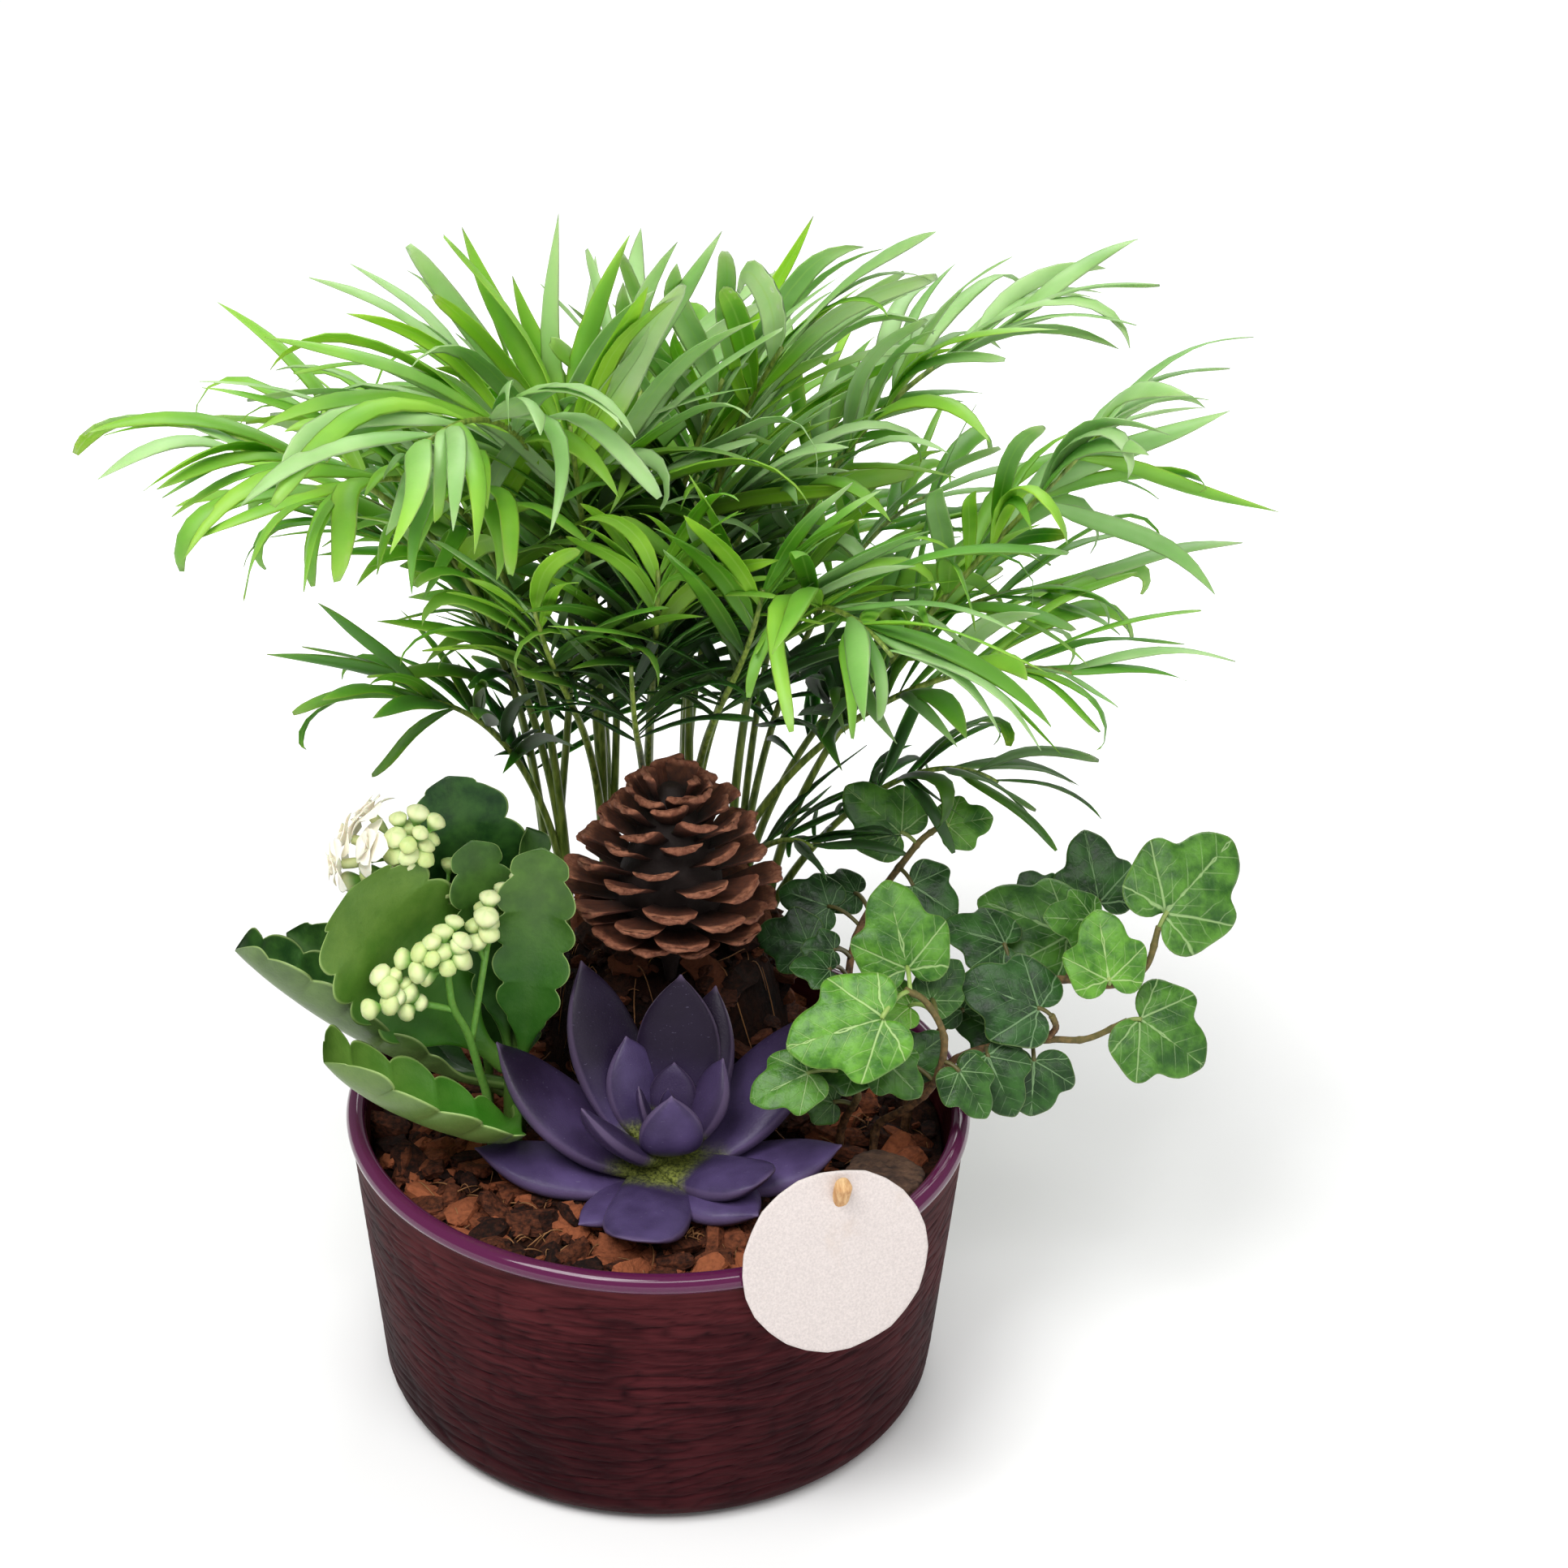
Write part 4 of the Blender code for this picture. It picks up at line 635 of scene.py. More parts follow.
PURPLE_PAINT = finish("purple_paint", purple_paint, Specular_IOR_Level=0.26)
stack, marks = echeveria_leaves()
heights, radii = np.array([66, 80, 92, 104]) * MM, np.array([6.5, 6.5, 6, 3]) * MM
stem = upright(*ECHEVERIA_FOOT[:2], heights, radii, 16)
piece("echeveria_leaves", [(stack, 0, marks, True), (stem, 0, {}, True)],
      [PURPLE_PAINT], "purple_paint", "echeveria_rosette")

# Pine cone: an open cone of woody scales in a spiral round its spindle. Each scale ends in a
# thick, reddish lip. The cone stands in the mix on its own stalk.

CONE_AXIS, CONE_SCALES, GOLDEN_ANGLE = np.array([4, 20]) * MM, 82, 137.508
# From the lowest scale to the highest: how far its tip reaches out, the height of its tip, the
# height where it leaves the spindle, and half its width.
CONE_REACH = [13, 23, 33, 35, 33, 29, 23, 16, 8]
CONE_TIPS = [147, 150, 155, 162, 172, 182, 191, 198, 202]
CONE_FEET = [150, 151, 154, 159, 165, 172, 180, 187, 193]
CONE_HALF_WIDTH = [6, 7.2, 8, 8.2, 7.8, 7.2, 6.6, 6, 5]


def cone_scales(draw):
    """Scales on a golden-angle spiral. Each widens from the spindle, dips like a spoon, curls up
    near its end and swells there into a lip. Its outline and lip are a little uneven."""
    number = np.arange(CONE_SCALES)
    place = (number + 0.5) / CONE_SCALES * (len(CONE_REACH) - 1)
    tables = (CONE_REACH, CONE_TIPS, CONE_FEET, CONE_HALF_WIDTH)
    reach, high, low, wide = (np.interp(place, range(len(row)), row) * MM for row in tables)
    reach = reach * draw.uniform(0.88, 1.03, CONE_SCALES)
    high = high + draw.normal(0, 1.3, CONE_SCALES) * MM
    turn = np.radians(number * GOLDEN_ANGLE) + draw.normal(0, 0.07, CONE_SCALES)
    out = np.stack([np.cos(turn), np.sin(turn), 0 * turn], -1)
    roll = draw.normal(0, 0.14, CONE_SCALES)[:, None]
    side = np.cross(UP, out)
    across = side * np.cos(roll) + UP * np.sin(roll)
    start = np.array([*CONE_AXIS, 0]) + low[:, None] * UP
    run = out * reach[:, None] + (high - low)[:, None] * UP
    normal = unit(np.cross(unit(run), across))
    shares = np.array([0, 0.2, 0.4, 0.55, 0.68, 0.78, 0.86, 0.92, 0.96, 0.99, 1.0])
    curl = 2.6 * MM * (shares**3 - 1)
    lines = start[:, None] + run[:, None] * shares[:, None] + curl[:, None] * normal[:, None]
    outline = smooth_through(
        shares, [0, 0.3, 0.6, 0.8, 0.92, 0.98, 1], [0.3, 0.5, 0.8, 1, 1, 0.86, 0.7])
    half = wide[:, None] * outline * draw.uniform(0.92, 1.06, (CONE_SCALES, 1))
    stops = [0, 0.5, 0.8, 0.93, 0.99, 1]
    over = smooth_through(shares, stops, [0.8, 0.4, 0.4, 0.6, 0.6, 0.2]) * MM
    under = smooth_through(shares, stops, [1.3, 0.7, 0.7, 1.2, 1.1, 0.3]) * MM
    lift = half * smooth_through(shares, [0, 0.6, 0.9, 1], [0.1, 0.22, 0.24, 0.14])
    stack, marks = blades(
        lines, across[:, None], normal[:, None], half, lift, over, under, 20)
    slant = stack[..., 2] + stack[..., 0]
    worn = ripple(marks["across"] * 3, slant, 24, (1, 4), (3 * MM, 8 * MM), 7)
    lip = smooth_step((shares - 0.82) / 0.12)[:, None]
    stack = stack + (worn * lip * 0.5 * MM)[..., None] * out[:, None, None]
    marks |= {"along": shares[:, None], "tint": draw.uniform(0, 1, CONE_SCALES)[:, None, None]}
    return stack, marks


def cone_wood(wire):
    place = wire.place()
    along, below, tint = wire.mark("along"), wire.mark("below"), wire.mark("tint")
    fibre = (wire.mark("across") * 78).beside(tint * 40).noise(1.4, 4, 0.6)
    grain = place.noise(520, 4, 0.6)
    wood = (fibre * 0.6 + grain * 0.4).step(0.35, 0.66).mix(colour(56, 30, 20), colour(124, 72, 48))
    wood = (tint * 0.4).mix(wood, colour(128, 66, 44))
    lip = along.step(0.84, 0.95)
    rim = grain.step(0.3, 0.7).mix(colour(140, 78, 54), colour(200, 132, 100))
    # Painted shade: each scale darkens towards the spindle, deep in the cone.
    wood = along.step(0.78, 0.4).mix(wood, colour(30, 15, 11))
    wood = (lip * 0.9).mix((below * 0.35).mix(wood, colour(70, 36, 24)), rim)
    relief = (fibre + grain * 0.5 + lip * grain * 0.8).bump(0.7 * MM, 0.8)
    return {"Base Color": wood, "Roughness": 0.62 + grain * 0.2, "Normal": relief}


CONE_WOOD = finish("cone_wood", cone_wood)
stack, marks = cone_scales(np.random.default_rng(14))
levels = np.array([112, 126, 136, 141, 146, 153, 160, 170, 180, 190, 198])
girths = smooth_through(levels, [112, 136, 146, 160, 180, 198], [3, 3, 10, 17, 12, 3])
spindle = upright(*CONE_AXIS, levels * MM, girths * MM, 24)
piece("pine_cone_scales", [(stack, 0, marks, True), (spindle, 0, {"along": 0.3}, True)],
      [CONE_WOOD], "cone_wood", "pine_cone")

# Kalanchoe: a succulent with broad, thick, scalloped leaves in pairs up one stem, waxy green with
# a pale hairline rim.

KALANCHOE_STEM, KALANCHOE_THICKNESS = (-46 * MM, -6 * MM), 2.6 * MM
# Each leaf: foot, tip, width, fold of its halves and turn about its length in degrees, how far
# its middle bows, where its line is drawn to first, and how yellow it is.
KALANCHOE_LEAVES = [
    ((-46, -9, 98), (-100, -44, 137), 40, 30, 0, 12, (34, -26, 0), 0.75),
    ((-48, -5, 104), (-130, -12, 157), 38, 34, 16, 7, (-4, 0, -4), 0.05),
    ((-48, -7, 112), (-92, -22, 184), 50, 8, -74, 5, (-8, 4, 0), 0.85),
    ((-46, -5, 111), (-65, 14, 204), 37, 8, -28, -4, (0, 24, 8), 0.0),
    ((-47, -4, 112), (-57, 0, 189), 23, 14, -48, -3, (-2, 4, 4), 0.25),
    ((-44, -7, 108), (-35, -7, 190), 26, 20, 85, -3, (2, 0, 4), 0.4),
    ((-47, -3, 99), (-120, 24, 143), 34, 24, 10, 8, (-2, 2, 0), 0.1),
    ((-44, -4, 110), (-41, 13, 187), 20, 22, 60, -5, (0, 8, 4), 0.15),
    ((-46, -2, 96), (-54, 46, 138), 34, 24, 0, 7, (0, 8, 0), 0.2),
]
KALANCHOE_OUTLINE = ([0, 0.12, 0.2, 0.3, 0.48, 0.66, 0.82, 0.92, 0.975, 1],
                     [0.12, 0.15, 0.3, 0.66, 0.92, 1, 0.92, 0.74, 0.46, 0.03])


def kalanchoe_leaves():
    """Thick blades along bowed lines, folded along their middle. The margin is scalloped: the
    outline less a dip that is deepest where |sin(6.5 pi share)| is 0."""
    rows = list(zip(*KALANCHOE_LEAVES))
    foot, tip, drawn = (np.array(row) * MM for row in (rows[0], rows[1], rows[6]))
    width, fold, turn, bow, yellow = (np.array(row, float) for row in (*rows[2:6], rows[7]))
    along = tip - foot
    heading = unit(along)
    level = unit(np.cross(heading, UP))
    turn = np.radians(turn)[:, None]
    across = level * np.cos(turn) + np.cross(heading, level) * np.sin(turn)
    normal = np.cross(across, heading)
    bend = normal * bow[:, None] * MM
    shares = np.linspace(0, 1, 112)
    lines = bezier(
        foot, foot + along * 0.33 - bend + drawn, tip - along * 0.3 - bend, tip, shares)
    half = width[:, None] * MM / 2 * smooth_through(shares, *KALANCHOE_OUTLINE)
    scallop = 1 - np.abs(np.sin(6.5 * pi * shares + width[:, None])) ** 0.6
    half = half - np.minimum(half * 0.34, 4.2 * MM) * scallop * smooth_step((shares - 0.22) / 0.1)
    stalk = 1 - smooth_step((shares - 0.12) / 0.12)
    thick = KALANCHOE_THICKNESS / 2 * (1.1 - 0.5 * shares) * (1 - shares**12) + 0.04 * MM
    thick = thick + stalk * 0.8 * MM + 0 * half
    lift = half * np.tan(np.radians(fold))[:, None] * (1 - stalk * 0.6)
    wave = 0.9 * MM * np.sin(shares * 17 + fold[:, None]) * smooth_step((shares - 0.3) / 0.2)
    stack, marks = blades(
        lines, across[:, None], normal[:, None], half, lift + wave, thick, thick, 26)
    marks |= {"along": shares[:, None], "tint": yellow[:, None, None],
              "rib": np.exp(-(marks["across"] / 0.07) ** 2)}
    return stack, marks


def kalanchoe_leaf(wire):
    place = wire.place()
    along, across, below = wire.mark("along"), abs(wire.mark("across")), wire.mark("below")
    mottle, fine = place.noise(120, 4, 0.6), place.noise(900, 3)
    green = mottle.step(0.3, 0.7).mix(colour(18, 54, 21), colour(52, 94, 35))
    green = wire.mark("tint").mix(green, mottle.mix(colour(64, 110, 28), colour(116, 146, 60)))
    # Partly painted shade: the upper face turns a deeper green towards the leaf's foot.
    inner = wire.mark("tint").mix(colour(16, 58, 14), colour(30, 118, 10))
    green = (along.step(0.88, 0.35) * 0.6 * (1 - below)).mix(green, inner)
    green = (below * 0.6).mix(green, mottle.mix(colour(70, 100, 44), colour(124, 144, 84)))
    vein = wire.mark("rib") * 0.3 * (1 - below)
    rim = across.step(0.95, 0.995) * 0.6
    green = (vein + rim).mix(green, colour(172, 198, 120))
    green = (fine.step(0.62, 0.8) * 0.25).mix(green, colour(30, 62, 26))
    green = (along.step(0.2, 0.02) * 0.6).mix(green, colour(96, 130, 54))
    return {
        "Base Color": green,
        "Roughness": 0.27 + mottle * 0.25,
        "Normal": (mottle + fine * 0.35 - wire.mark("rib") * 0.8).bump(0.5 * MM, 0.5),
    }


KALANCHOE_LEAF = finish("kalanchoe_leaf", kalanchoe_leaf, Specular_IOR_Level=0.35)
stack, marks = kalanchoe_leaves()
heights = np.array([66, 80, 92, 104, 112, 118]) * MM
stem = upright(*KALANCHOE_STEM, heights, np.array([3.5, 3.5, 3.6, 3.4, 3, 1.6]) * MM, 14)
piece("kalanchoe_leaves", [(stack, 0, marks, True), (stem, 0, {"tint": 0.4}, True)],
      [KALANCHOE_LEAF], "kalanchoe_leaf", "kalanchoe_plant")

# Kalanchoe flower heads: green stalks that branch into stalked buds, creamy above and green
# where they are held, with a few white flowers open at the back.

BUD_LENGTH, PETAL_REACH = 7.6 * MM, 9.5 * MM
# Each head: the points its stalk passes from the soil up, then its groups of buds, then its
# open blooms. A group: where it leaves the stalk, where its buds part, and their tops.
FLOWER_HEADS = {
    "kalanchoe_flowers_front": (
        [(-53, -14, 70), (-53, -14, 88), (-54, -14, 105), (-56, -15, 115), (-59, -17, 130),
         (-63, -20, 142), (-64, -22, 156)],
        [
            ((-64, -22, 155), (-65, -23, 160), [
                (-69, -24, 169), (-65, -20, 171), (-59, -24, 167), (-61, -18, 173),
                (-69, -28, 164), (-75, -28, 158), (-74, -25, 165), (-80, -23, 161),
            ]),
            ((-62, -19, 140), (-76, -25, 147), [
                (-86, -25, 158), (-83, -30, 156), (-89, -34, 149), (-83, -32, 150),
                (-78, -30, 145), (-78, -24, 154),
            ]),
            ((-58, -16, 127), (-52, -13, 162), [
                (-51, -12, 178), (-46, -3, 176), (-42, -1, 178), (-52, -17, 174),
                (-46, -4, 168), (-51, -18, 168), (-57, -14, 169),
            ]),
        ],
        [],
    ),
    "kalanchoe_flowers_back": (
        [(-55, 6, 70), (-55, 6, 88), (-55, 6, 105), (-58, 3, 124), (-64, -1, 145),
         (-70, -3, 165), (-76, -4, 180)],
        [
            ((-76, -4, 179), (-76, -5, 186), [
                (-72, -4, 203), (-66, -5, 200), (-79, -5, 201), (-71, -10, 198),
                (-75, -13, 195), (-80, -10, 197), (-81, -11, 191), (-74, -10, 191),
                (-91, -7, 180), (-97, -4, 176), (-69, -8, 193),
            ]),
            ((-66, -1, 154), (-66, -1, 166), [(-64, 2, 182), (-66, -2, 175)]),
        ],
        [(-87, -1, 198), (-93, -3, 191), (-96, -8, 185), (-86, -9, 191)],
    ),
}
# Shares along a bud, and its radius there: a green cup and a plump top. Then the radius and the
# points of its stalk.
BUD_STATIONS = [0, 0.16, 0.34, 0.5, 0.62, 0.76, 0.88, 0.96, 1]
BUD_GIRTHS = [0.8, 1.1, 2.3, 3.1, 3.6, 3.6, 2.8, 1.5, 0.15]
BUD_STALK, BUD_STALK_POINTS = 0.75, 5
PETAL_OUTLINE = ([0, 0.25, 0.55, 0.8, 0.95, 1], [0.2, 0.62, 1, 0.86, 0.35, 0.02])


def frames(headings):
    """Two directions square to each heading and to each other."""
    across = unit(np.cross(headings, (0.3, 1, 0.2)))
    return across, np.cross(headings, across)


def flower_buds(starts, tops, draw):
    """Buds on stalks: a stalk that bows up from start to the bud's cup, then rings whose radius
    follows the bud's outline, with four soft corners where the petals are folded."""
    n = len(tops)
    line = unit(tops - starts)
    size = draw.uniform(0.72, 1.1, n)
    cup = tops - line * BUD_LENGTH * size[:, None]
    away = starts + (cup - starts) * 0.4 + UP * 0.3 * MM
    places = np.linspace(0, 1, BUD_STALK_POINTS + 1)[:-1]
    stalk = bezier(starts, away, cup - line * 1.5 * MM, cup, places)
    shares = np.array(BUD_STATIONS)
    top = cup[:, None] + (tops - cup)[:, None] * shares[:, None]
    lines = np.concatenate([stalk, top], 1)
    girth = np.concatenate([np.full(BUD_STALK_POINTS, BUD_STALK), BUD_GIRTHS])
    headings = np.repeat(line[:, None], len(girth), 1)
    across, up = frames(headings)
    angle = np.arange(12) * 2 * pi / 12
    folded = np.arange(len(girth)) > BUD_STALK_POINTS + 3
    corner = 1 + 0.05 * np.cos(4 * angle) * folded[:, None]
    radius = girth[:, None] * corner * MM * size[:, None, None]
    ring = np.cos(angle)[:, None] * across[:, :, None] + np.sin(angle)[:, None] * up[:, :, None]
    stack = lines[:, :, None] + radius[..., None] * ring
    ripe = np.concatenate([np.zeros(BUD_STALK_POINTS), shares])[:, None]
    fold = np.abs(np.cos(2 * angle + 0 * radius)) ** 12
    return stack, {"ripe": ripe, "tint": draw.uniform(0, 1, n)[:, None, None], "fold": fold}


def flower_petals(centres, starts, draw):
    """Open double flowers: three whorls of four broad petals round each centre, the outer ones
    bent back at their ends and the inner ones shorter and more upright."""
    line = unit(centres - starts)
    across, up = frames(line)
    whorl = np.repeat(np.arange(3), 4)[None, :, None]
    angle = np.arange(12)[None, :, None] * pi / 2 + whorl * 0.6
    angle = angle + draw.uniform(0, 1.5, (len(centres), 1, 1))
    out = np.cos(angle) * across[:, None] + np.sin(angle) * up[:, None]
    raised = np.radians(4 + 26 * whorl)
    out, face = (out * np.cos(raised) + line[:, None] * np.sin(raised),
                 line[:, None] * np.cos(raised) - out * np.sin(raised))
    side = np.cross(out, face)
    out, face, side = (v.reshape(-1, 3) for v in (out, face, side))
    middle = np.repeat(centres, 12, 0)
    shares = np.linspace(0, 1, 12)
    reach = draw.uniform(0.86, 1.05, len(out)) * (1 - 0.16 * np.resize(whorl, len(out)))
    reach = PETAL_REACH * reach[:, None]
    lines = middle[:, None] + (shares * reach)[..., None] * out[:, None]
    rise = 1.4 * MM * (np.sin(pi * shares * 0.9) - 1.4 * shares**2)
    lines = lines + rise[:, None] * face[:, None]
    half = reach * 0.5 * smooth_through(shares, *PETAL_OUTLINE)
    thin = 0.28 * MM * (1.02 - shares**6)
    stack, _ = blades(lines, side[:, None], face[:, None], half, 0.12 * half, thin, thin, 12)
    return stack, {"ripe": 1.4, "tint": 0.5}


def flower_head(name, stalk, groups, blooms):
    """A smooth stalk through its points, a branch to each group, and its buds: those of the table
    and one more between each two. Blooms stand on throats that widen towards them."""
    draw = np.random.default_rng(len(blooms) + 3)
    stalk = np.array(stalk, float) * MM
    places = np.linspace(0, 1, 34)
    main = smooth_through(places, np.linspace(0, 1, len(stalk)), stalk)
    stalks = [tubes(main[None], np.linspace(1.6, 1.15, 34)[None] * MM, 10)]
    starts, tips = [], []
    for start, fork, tops in groups:
        start, fork, tops = (np.array(p, float) * MM for p in (start, fork, tops))
        branch = bowed(start, fork, 0.4, 0.3, 0, np.linspace(0, 1, 14))
        stalks.append(tubes(branch[None], np.full((1, 14), 1.1 * MM), 10))
        tops = tops[np.argsort(tops @ (start - fork))]
        back = min(8 * MM, np.linalg.norm(fork - start) * 0.7) * unit(fork - start)
        lower = 0.62 * tops[1:] + 0.38 * tops[:-1] + draw.normal(0, 1.6, (len(tops) - 1, 3)) * MM
        tops = np.concatenate([tops, lower - 4.5 * MM * unit(tops.mean(0) - fork)])
        starts.append(fork - np.linspace(0.1, 1, len(tops))[:, None] * back)
        tips.append(tops)
    stacks = [(stack, {"tint": 0.3}) for stack in stalks]
    stacks.append(flower_buds(np.concatenate(starts), np.concatenate(tips), draw))
    if blooms:
        centres = np.array(blooms, float) * MM
        fork = np.array(groups[-2][1], float) * MM + 0 * centres
        stacks.append(flower_petals(centres, fork, draw))
        shares = np.linspace(0, 1, 10)
        throats = bowed(fork, centres, 0.4, 0.2, 0, shares)
        girth = smooth_through(shares, [0, 0.5, 0.7, 1], [0.7, 0.8, 1.6, 1.5]) * MM
        marks = {"ripe": shares[:, None] * 0.9, "tint": 0.5}
        stacks.append((tubes(throats, girth + 0 * throats[..., 0], 10), marks))
        rise = (np.linspace(-0.6, 1.6, 5) * MM)[:, None]
        eyes = centres[:, None] + rise * unit(centres - fork)[:, None]
        girth = np.array([0.9, 1.1, 1.1, 0.8, 0.3]) * MM
        marks = {"ripe": 0.62, "tint": 0.2}
        stacks.append((tubes(eyes, girth + 0 * eyes[..., 0], 8), marks))
    parts = [(stack, 0, marks, True) for stack, marks in stacks]
    piece(name + "_stalked", parts, [KALANCHOE_BUD], "kalanchoe_bud", name)


def kalanchoe_bud(wire):
    ripe, tint, fine = wire.mark("ripe"), wire.mark("tint"), wire.place().noise(700, 3)
    green = fine.mix(colour(84, 140, 48), colour(124, 176, 76))
    cream = tint.mix(colour(196, 212, 132), colour(228, 232, 184))
    skin = ripe.step(0.26, 0.74).mix(green, cream)
    skin = (wire.mark("fold") * ripe.step(0.4, 0.8) * 0.35).mix(skin, colour(176, 204, 120))
    open_flower = ripe.step(1.1, 1.35)
    skin = open_flower.mix(skin, colour(247, 242, 228))
    # Painted light: the open flowers glow a little.
    glow = open_flower.mix((0, 0, 0, 1), (0.06, 0.058, 0.048, 1))
    return {"Base Color": skin, "Emission Color": glow, "Normal": fine.bump(0.2 * MM, 0.4)}


KALANCHOE_BUD = finish("kalanchoe_bud", kalanchoe_bud, Roughness=0.5, Subsurface_Weight=0.15,
                       Subsurface_Scale=0.002, Emission_Strength=1)
for name, head in FLOWER_HEADS.items():
    flower_head(name, *head)

# Ivy: trailing shoots of common ivy. Thin woody stems carry three-lobed leaves on stalks, dark
# and leathery with pale veins, and the younger ones at the front are a fresh light green.

IVY_DOME = 0.09
# Each ivy: the lines of its stem and side shoots from the soil up, then its leaves. A leaf:
# foot, tip, width, the way that its blade faces, and how young and light it is.
IVIES = {
    "ivy_front": (
        [[(69, -12, 70), (69, -12, 88), (71, -13, 95), (79, -18, 104), (86, -22, 116),
          (88, -23, 132), (82, -23, 145), (75, -25, 151)]],
        [
            ((77, -17, 151), (71, -4, 173), 25, (0, -0.85, 0.5), 0.7),
            ((70, -38, 150), (41, -42, 142), 25, (-0.1, -0.75, 0.66), 0.9),
            ((84, -12, 138), (94, -4, 148), 15, (0.2, -0.8, 0.5), 0.3),
            ((80, -12, 137), (64, -10, 140), 15, (0, -0.6, 0.8), 1.0),
            ((92, -26, 124), (100, -32, 112), 16, (0.2, -0.8, 0.5), 0.2),
            ((76, -18, 119), (88, -12, 125), 14, (0.1, -0.75, 0.66), 0.2),
        ],
    ),
    "ivy_low": (
        [[(58, -13, 70), (58, -13, 88), (59, -16, 98), (62, -25, 113), (58, -30, 124)]],
        [
            ((47, -36, 129), (30, -41, 123), 17, (-0.1, -0.6, 0.8), 0.55),
            ((64, -26, 129), (45, -31, 127), 15, (0, -0.5, 0.85), 0.3),
            ((67, -31, 132), (79, -38, 122), 16, (0.1, -0.75, 0.66), 0.35),
            ((56, -22, 108), (44, -24, 112), 13, (-0.2, -0.7, 0.7), 0.3),
        ],
    ),
    "ivy_right": (
        [
            [(80, -2, 70), (80, -2, 88), (83, -2, 97), (90, -3, 108), (102, -2, 115),
             (123, -1, 118), (136, -2, 119), (148, -4, 127)],
            [(123, -1, 118), (126, -2, 123), (124, -4, 129)],
        ],
        [
            ((150, -5, 130), (170, -12, 117), 32, (0.1, -0.75, 0.66), 0.5),
            ((119, -7, 116), (118, -16, 101), 25, (0.1, -0.8, 0.6), 0.1),
            ((103, -9, 119), (111, -18, 104), 20, (0, -0.85, 0.5), 0.1),
            ((122, -5, 131), (97, 1, 139), 28, (0, -0.75, 0.66), 0.05),
            ((116, 9, 112), (98, 15, 118), 18, (0, -0.8, 0.6), 0.1),
        ],
    ),
    "ivy_upper": (
        [
            [(82, 12, 70), (82, 12, 88), (84, 12, 100), (98, 12, 122), (114, 10, 133),
             (130, 6, 136), (145, 3, 136), (154, 4, 142), (157, 5, 156)],
            [(130, 6, 136), (134, 14, 140), (134, 22, 141), (140, 38, 142)],
        ],
        [
            ((157, 4, 159), (181, 23, 176), 30, (0.2, -0.8, 0.6), 0.55),
            ((141, -7, 141), (138, 5, 160), 24, (0, -0.8, 0.6), 0.85),
            ((135, 24, 141), (109, 33, 149), 30, (0, -0.6, 0.8), 0.4),
            ((140, 14, 153), (124, 9, 157), 14, (0.1, -0.75, 0.66), 0.5),
            ((113, 16, 143), (92, 20, 148), 17, (0, -0.5, 0.85), 0.1),
            ((146, 42, 142), (142, 56, 161), 24, (0, -0.8, 0.6), 0.1),
            ((130, 44, 142), (121, 49, 150), 15, (0, -0.8, 0.6), 0.1),
            ((98, 4, 124), (90, 12, 137), 18, (0, -0.8, 0.6), 0.1),
        ],
    ),
    "ivy_back": (
        [[(62, 12, 70), (62, 12, 88), (62, 14, 102), (62, 26, 120), (65, 36, 134),
          (72, 39, 148), (80, 38, 162), (85, 37, 170), (90, 36, 175)]],
        [
            ((80, 37, 171), (64, 46, 182), 22, (0, -0.75, 0.66), 0.5),
            ((92, 35, 176), (106, 37, 178), 16, (0, -0.75, 0.66), 0.8),
            ((81, 32, 157), (94, 27, 150), 20, (0.1, -0.7, 0.6), 0.1),
            ((58, 44, 141), (41, 51, 144), 18, (-0.2, -0.7, 0.7), 0.05),
            ((67, 50, 143), (53, 51, 146), 13, (0, -0.6, 0.8), 0.05),
            ((51, 35, 132), (34, 39, 134), 20, (-0.2, -0.8, 0.5), 0.05),
            ((58, 25, 136), (48, 24, 137), 12, (0, -0.75, 0.66), 0.1),
            ((56, 12, 136), (43, 11, 138), 12, (0, -0.5, 0.9), 0.1),
        ],
    ),
}
# The leaf's outline, half of it from the notch at its stalk to its tip: across and along.
IVY_OUTLINE = [
    (0, 0.09), (0.07, -0.03), (0.17, -0.1), (0.3, -0.11), (0.41, -0.05), (0.47, 0.05),
    (0.5, 0.16), (0.53, 0.27), (0.55, 0.37), (0.545, 0.46), (0.5, 0.53), (0.425, 0.565),
    (0.355, 0.6), (0.32, 0.67), (0.295, 0.77), (0.23, 0.89), (0.11, 0.98), (0, 1.03),
]
# Ends of the main veins of one half, measured from the top of the stalk's notch.
IVY_VEINS, IVY_NOTCH = [(0, 0.9), (0.5, 0.36), (0.38, -0.06)], 0.08
RIM_POINTS = 76


def vein_strength(x, y):
    """1 on a main vein and less beside it: a bell curve of the distance to each line from the
    stalk to a lobe."""
    x, y, strength = abs(x), y - IVY_NOTCH, 0
    for end_x, end_y in IVY_VEINS:
        long = sqrt(end_x**2 + end_y**2)
        run, off = (x * end_x + y * end_y) / long, (x * end_y - y * end_x) / long
        strength = strength + np.exp(-(np.hypot(off, run - np.clip(run, 0, long)) / 0.07) ** 2)
    return np.clip(strength, 0, 1)


def square_to(vectors, headings):
    """The vectors less their share of the headings, with length 1."""
    return unit(vectors - headings * np.sum(vectors * headings, -1, keepdims=True))


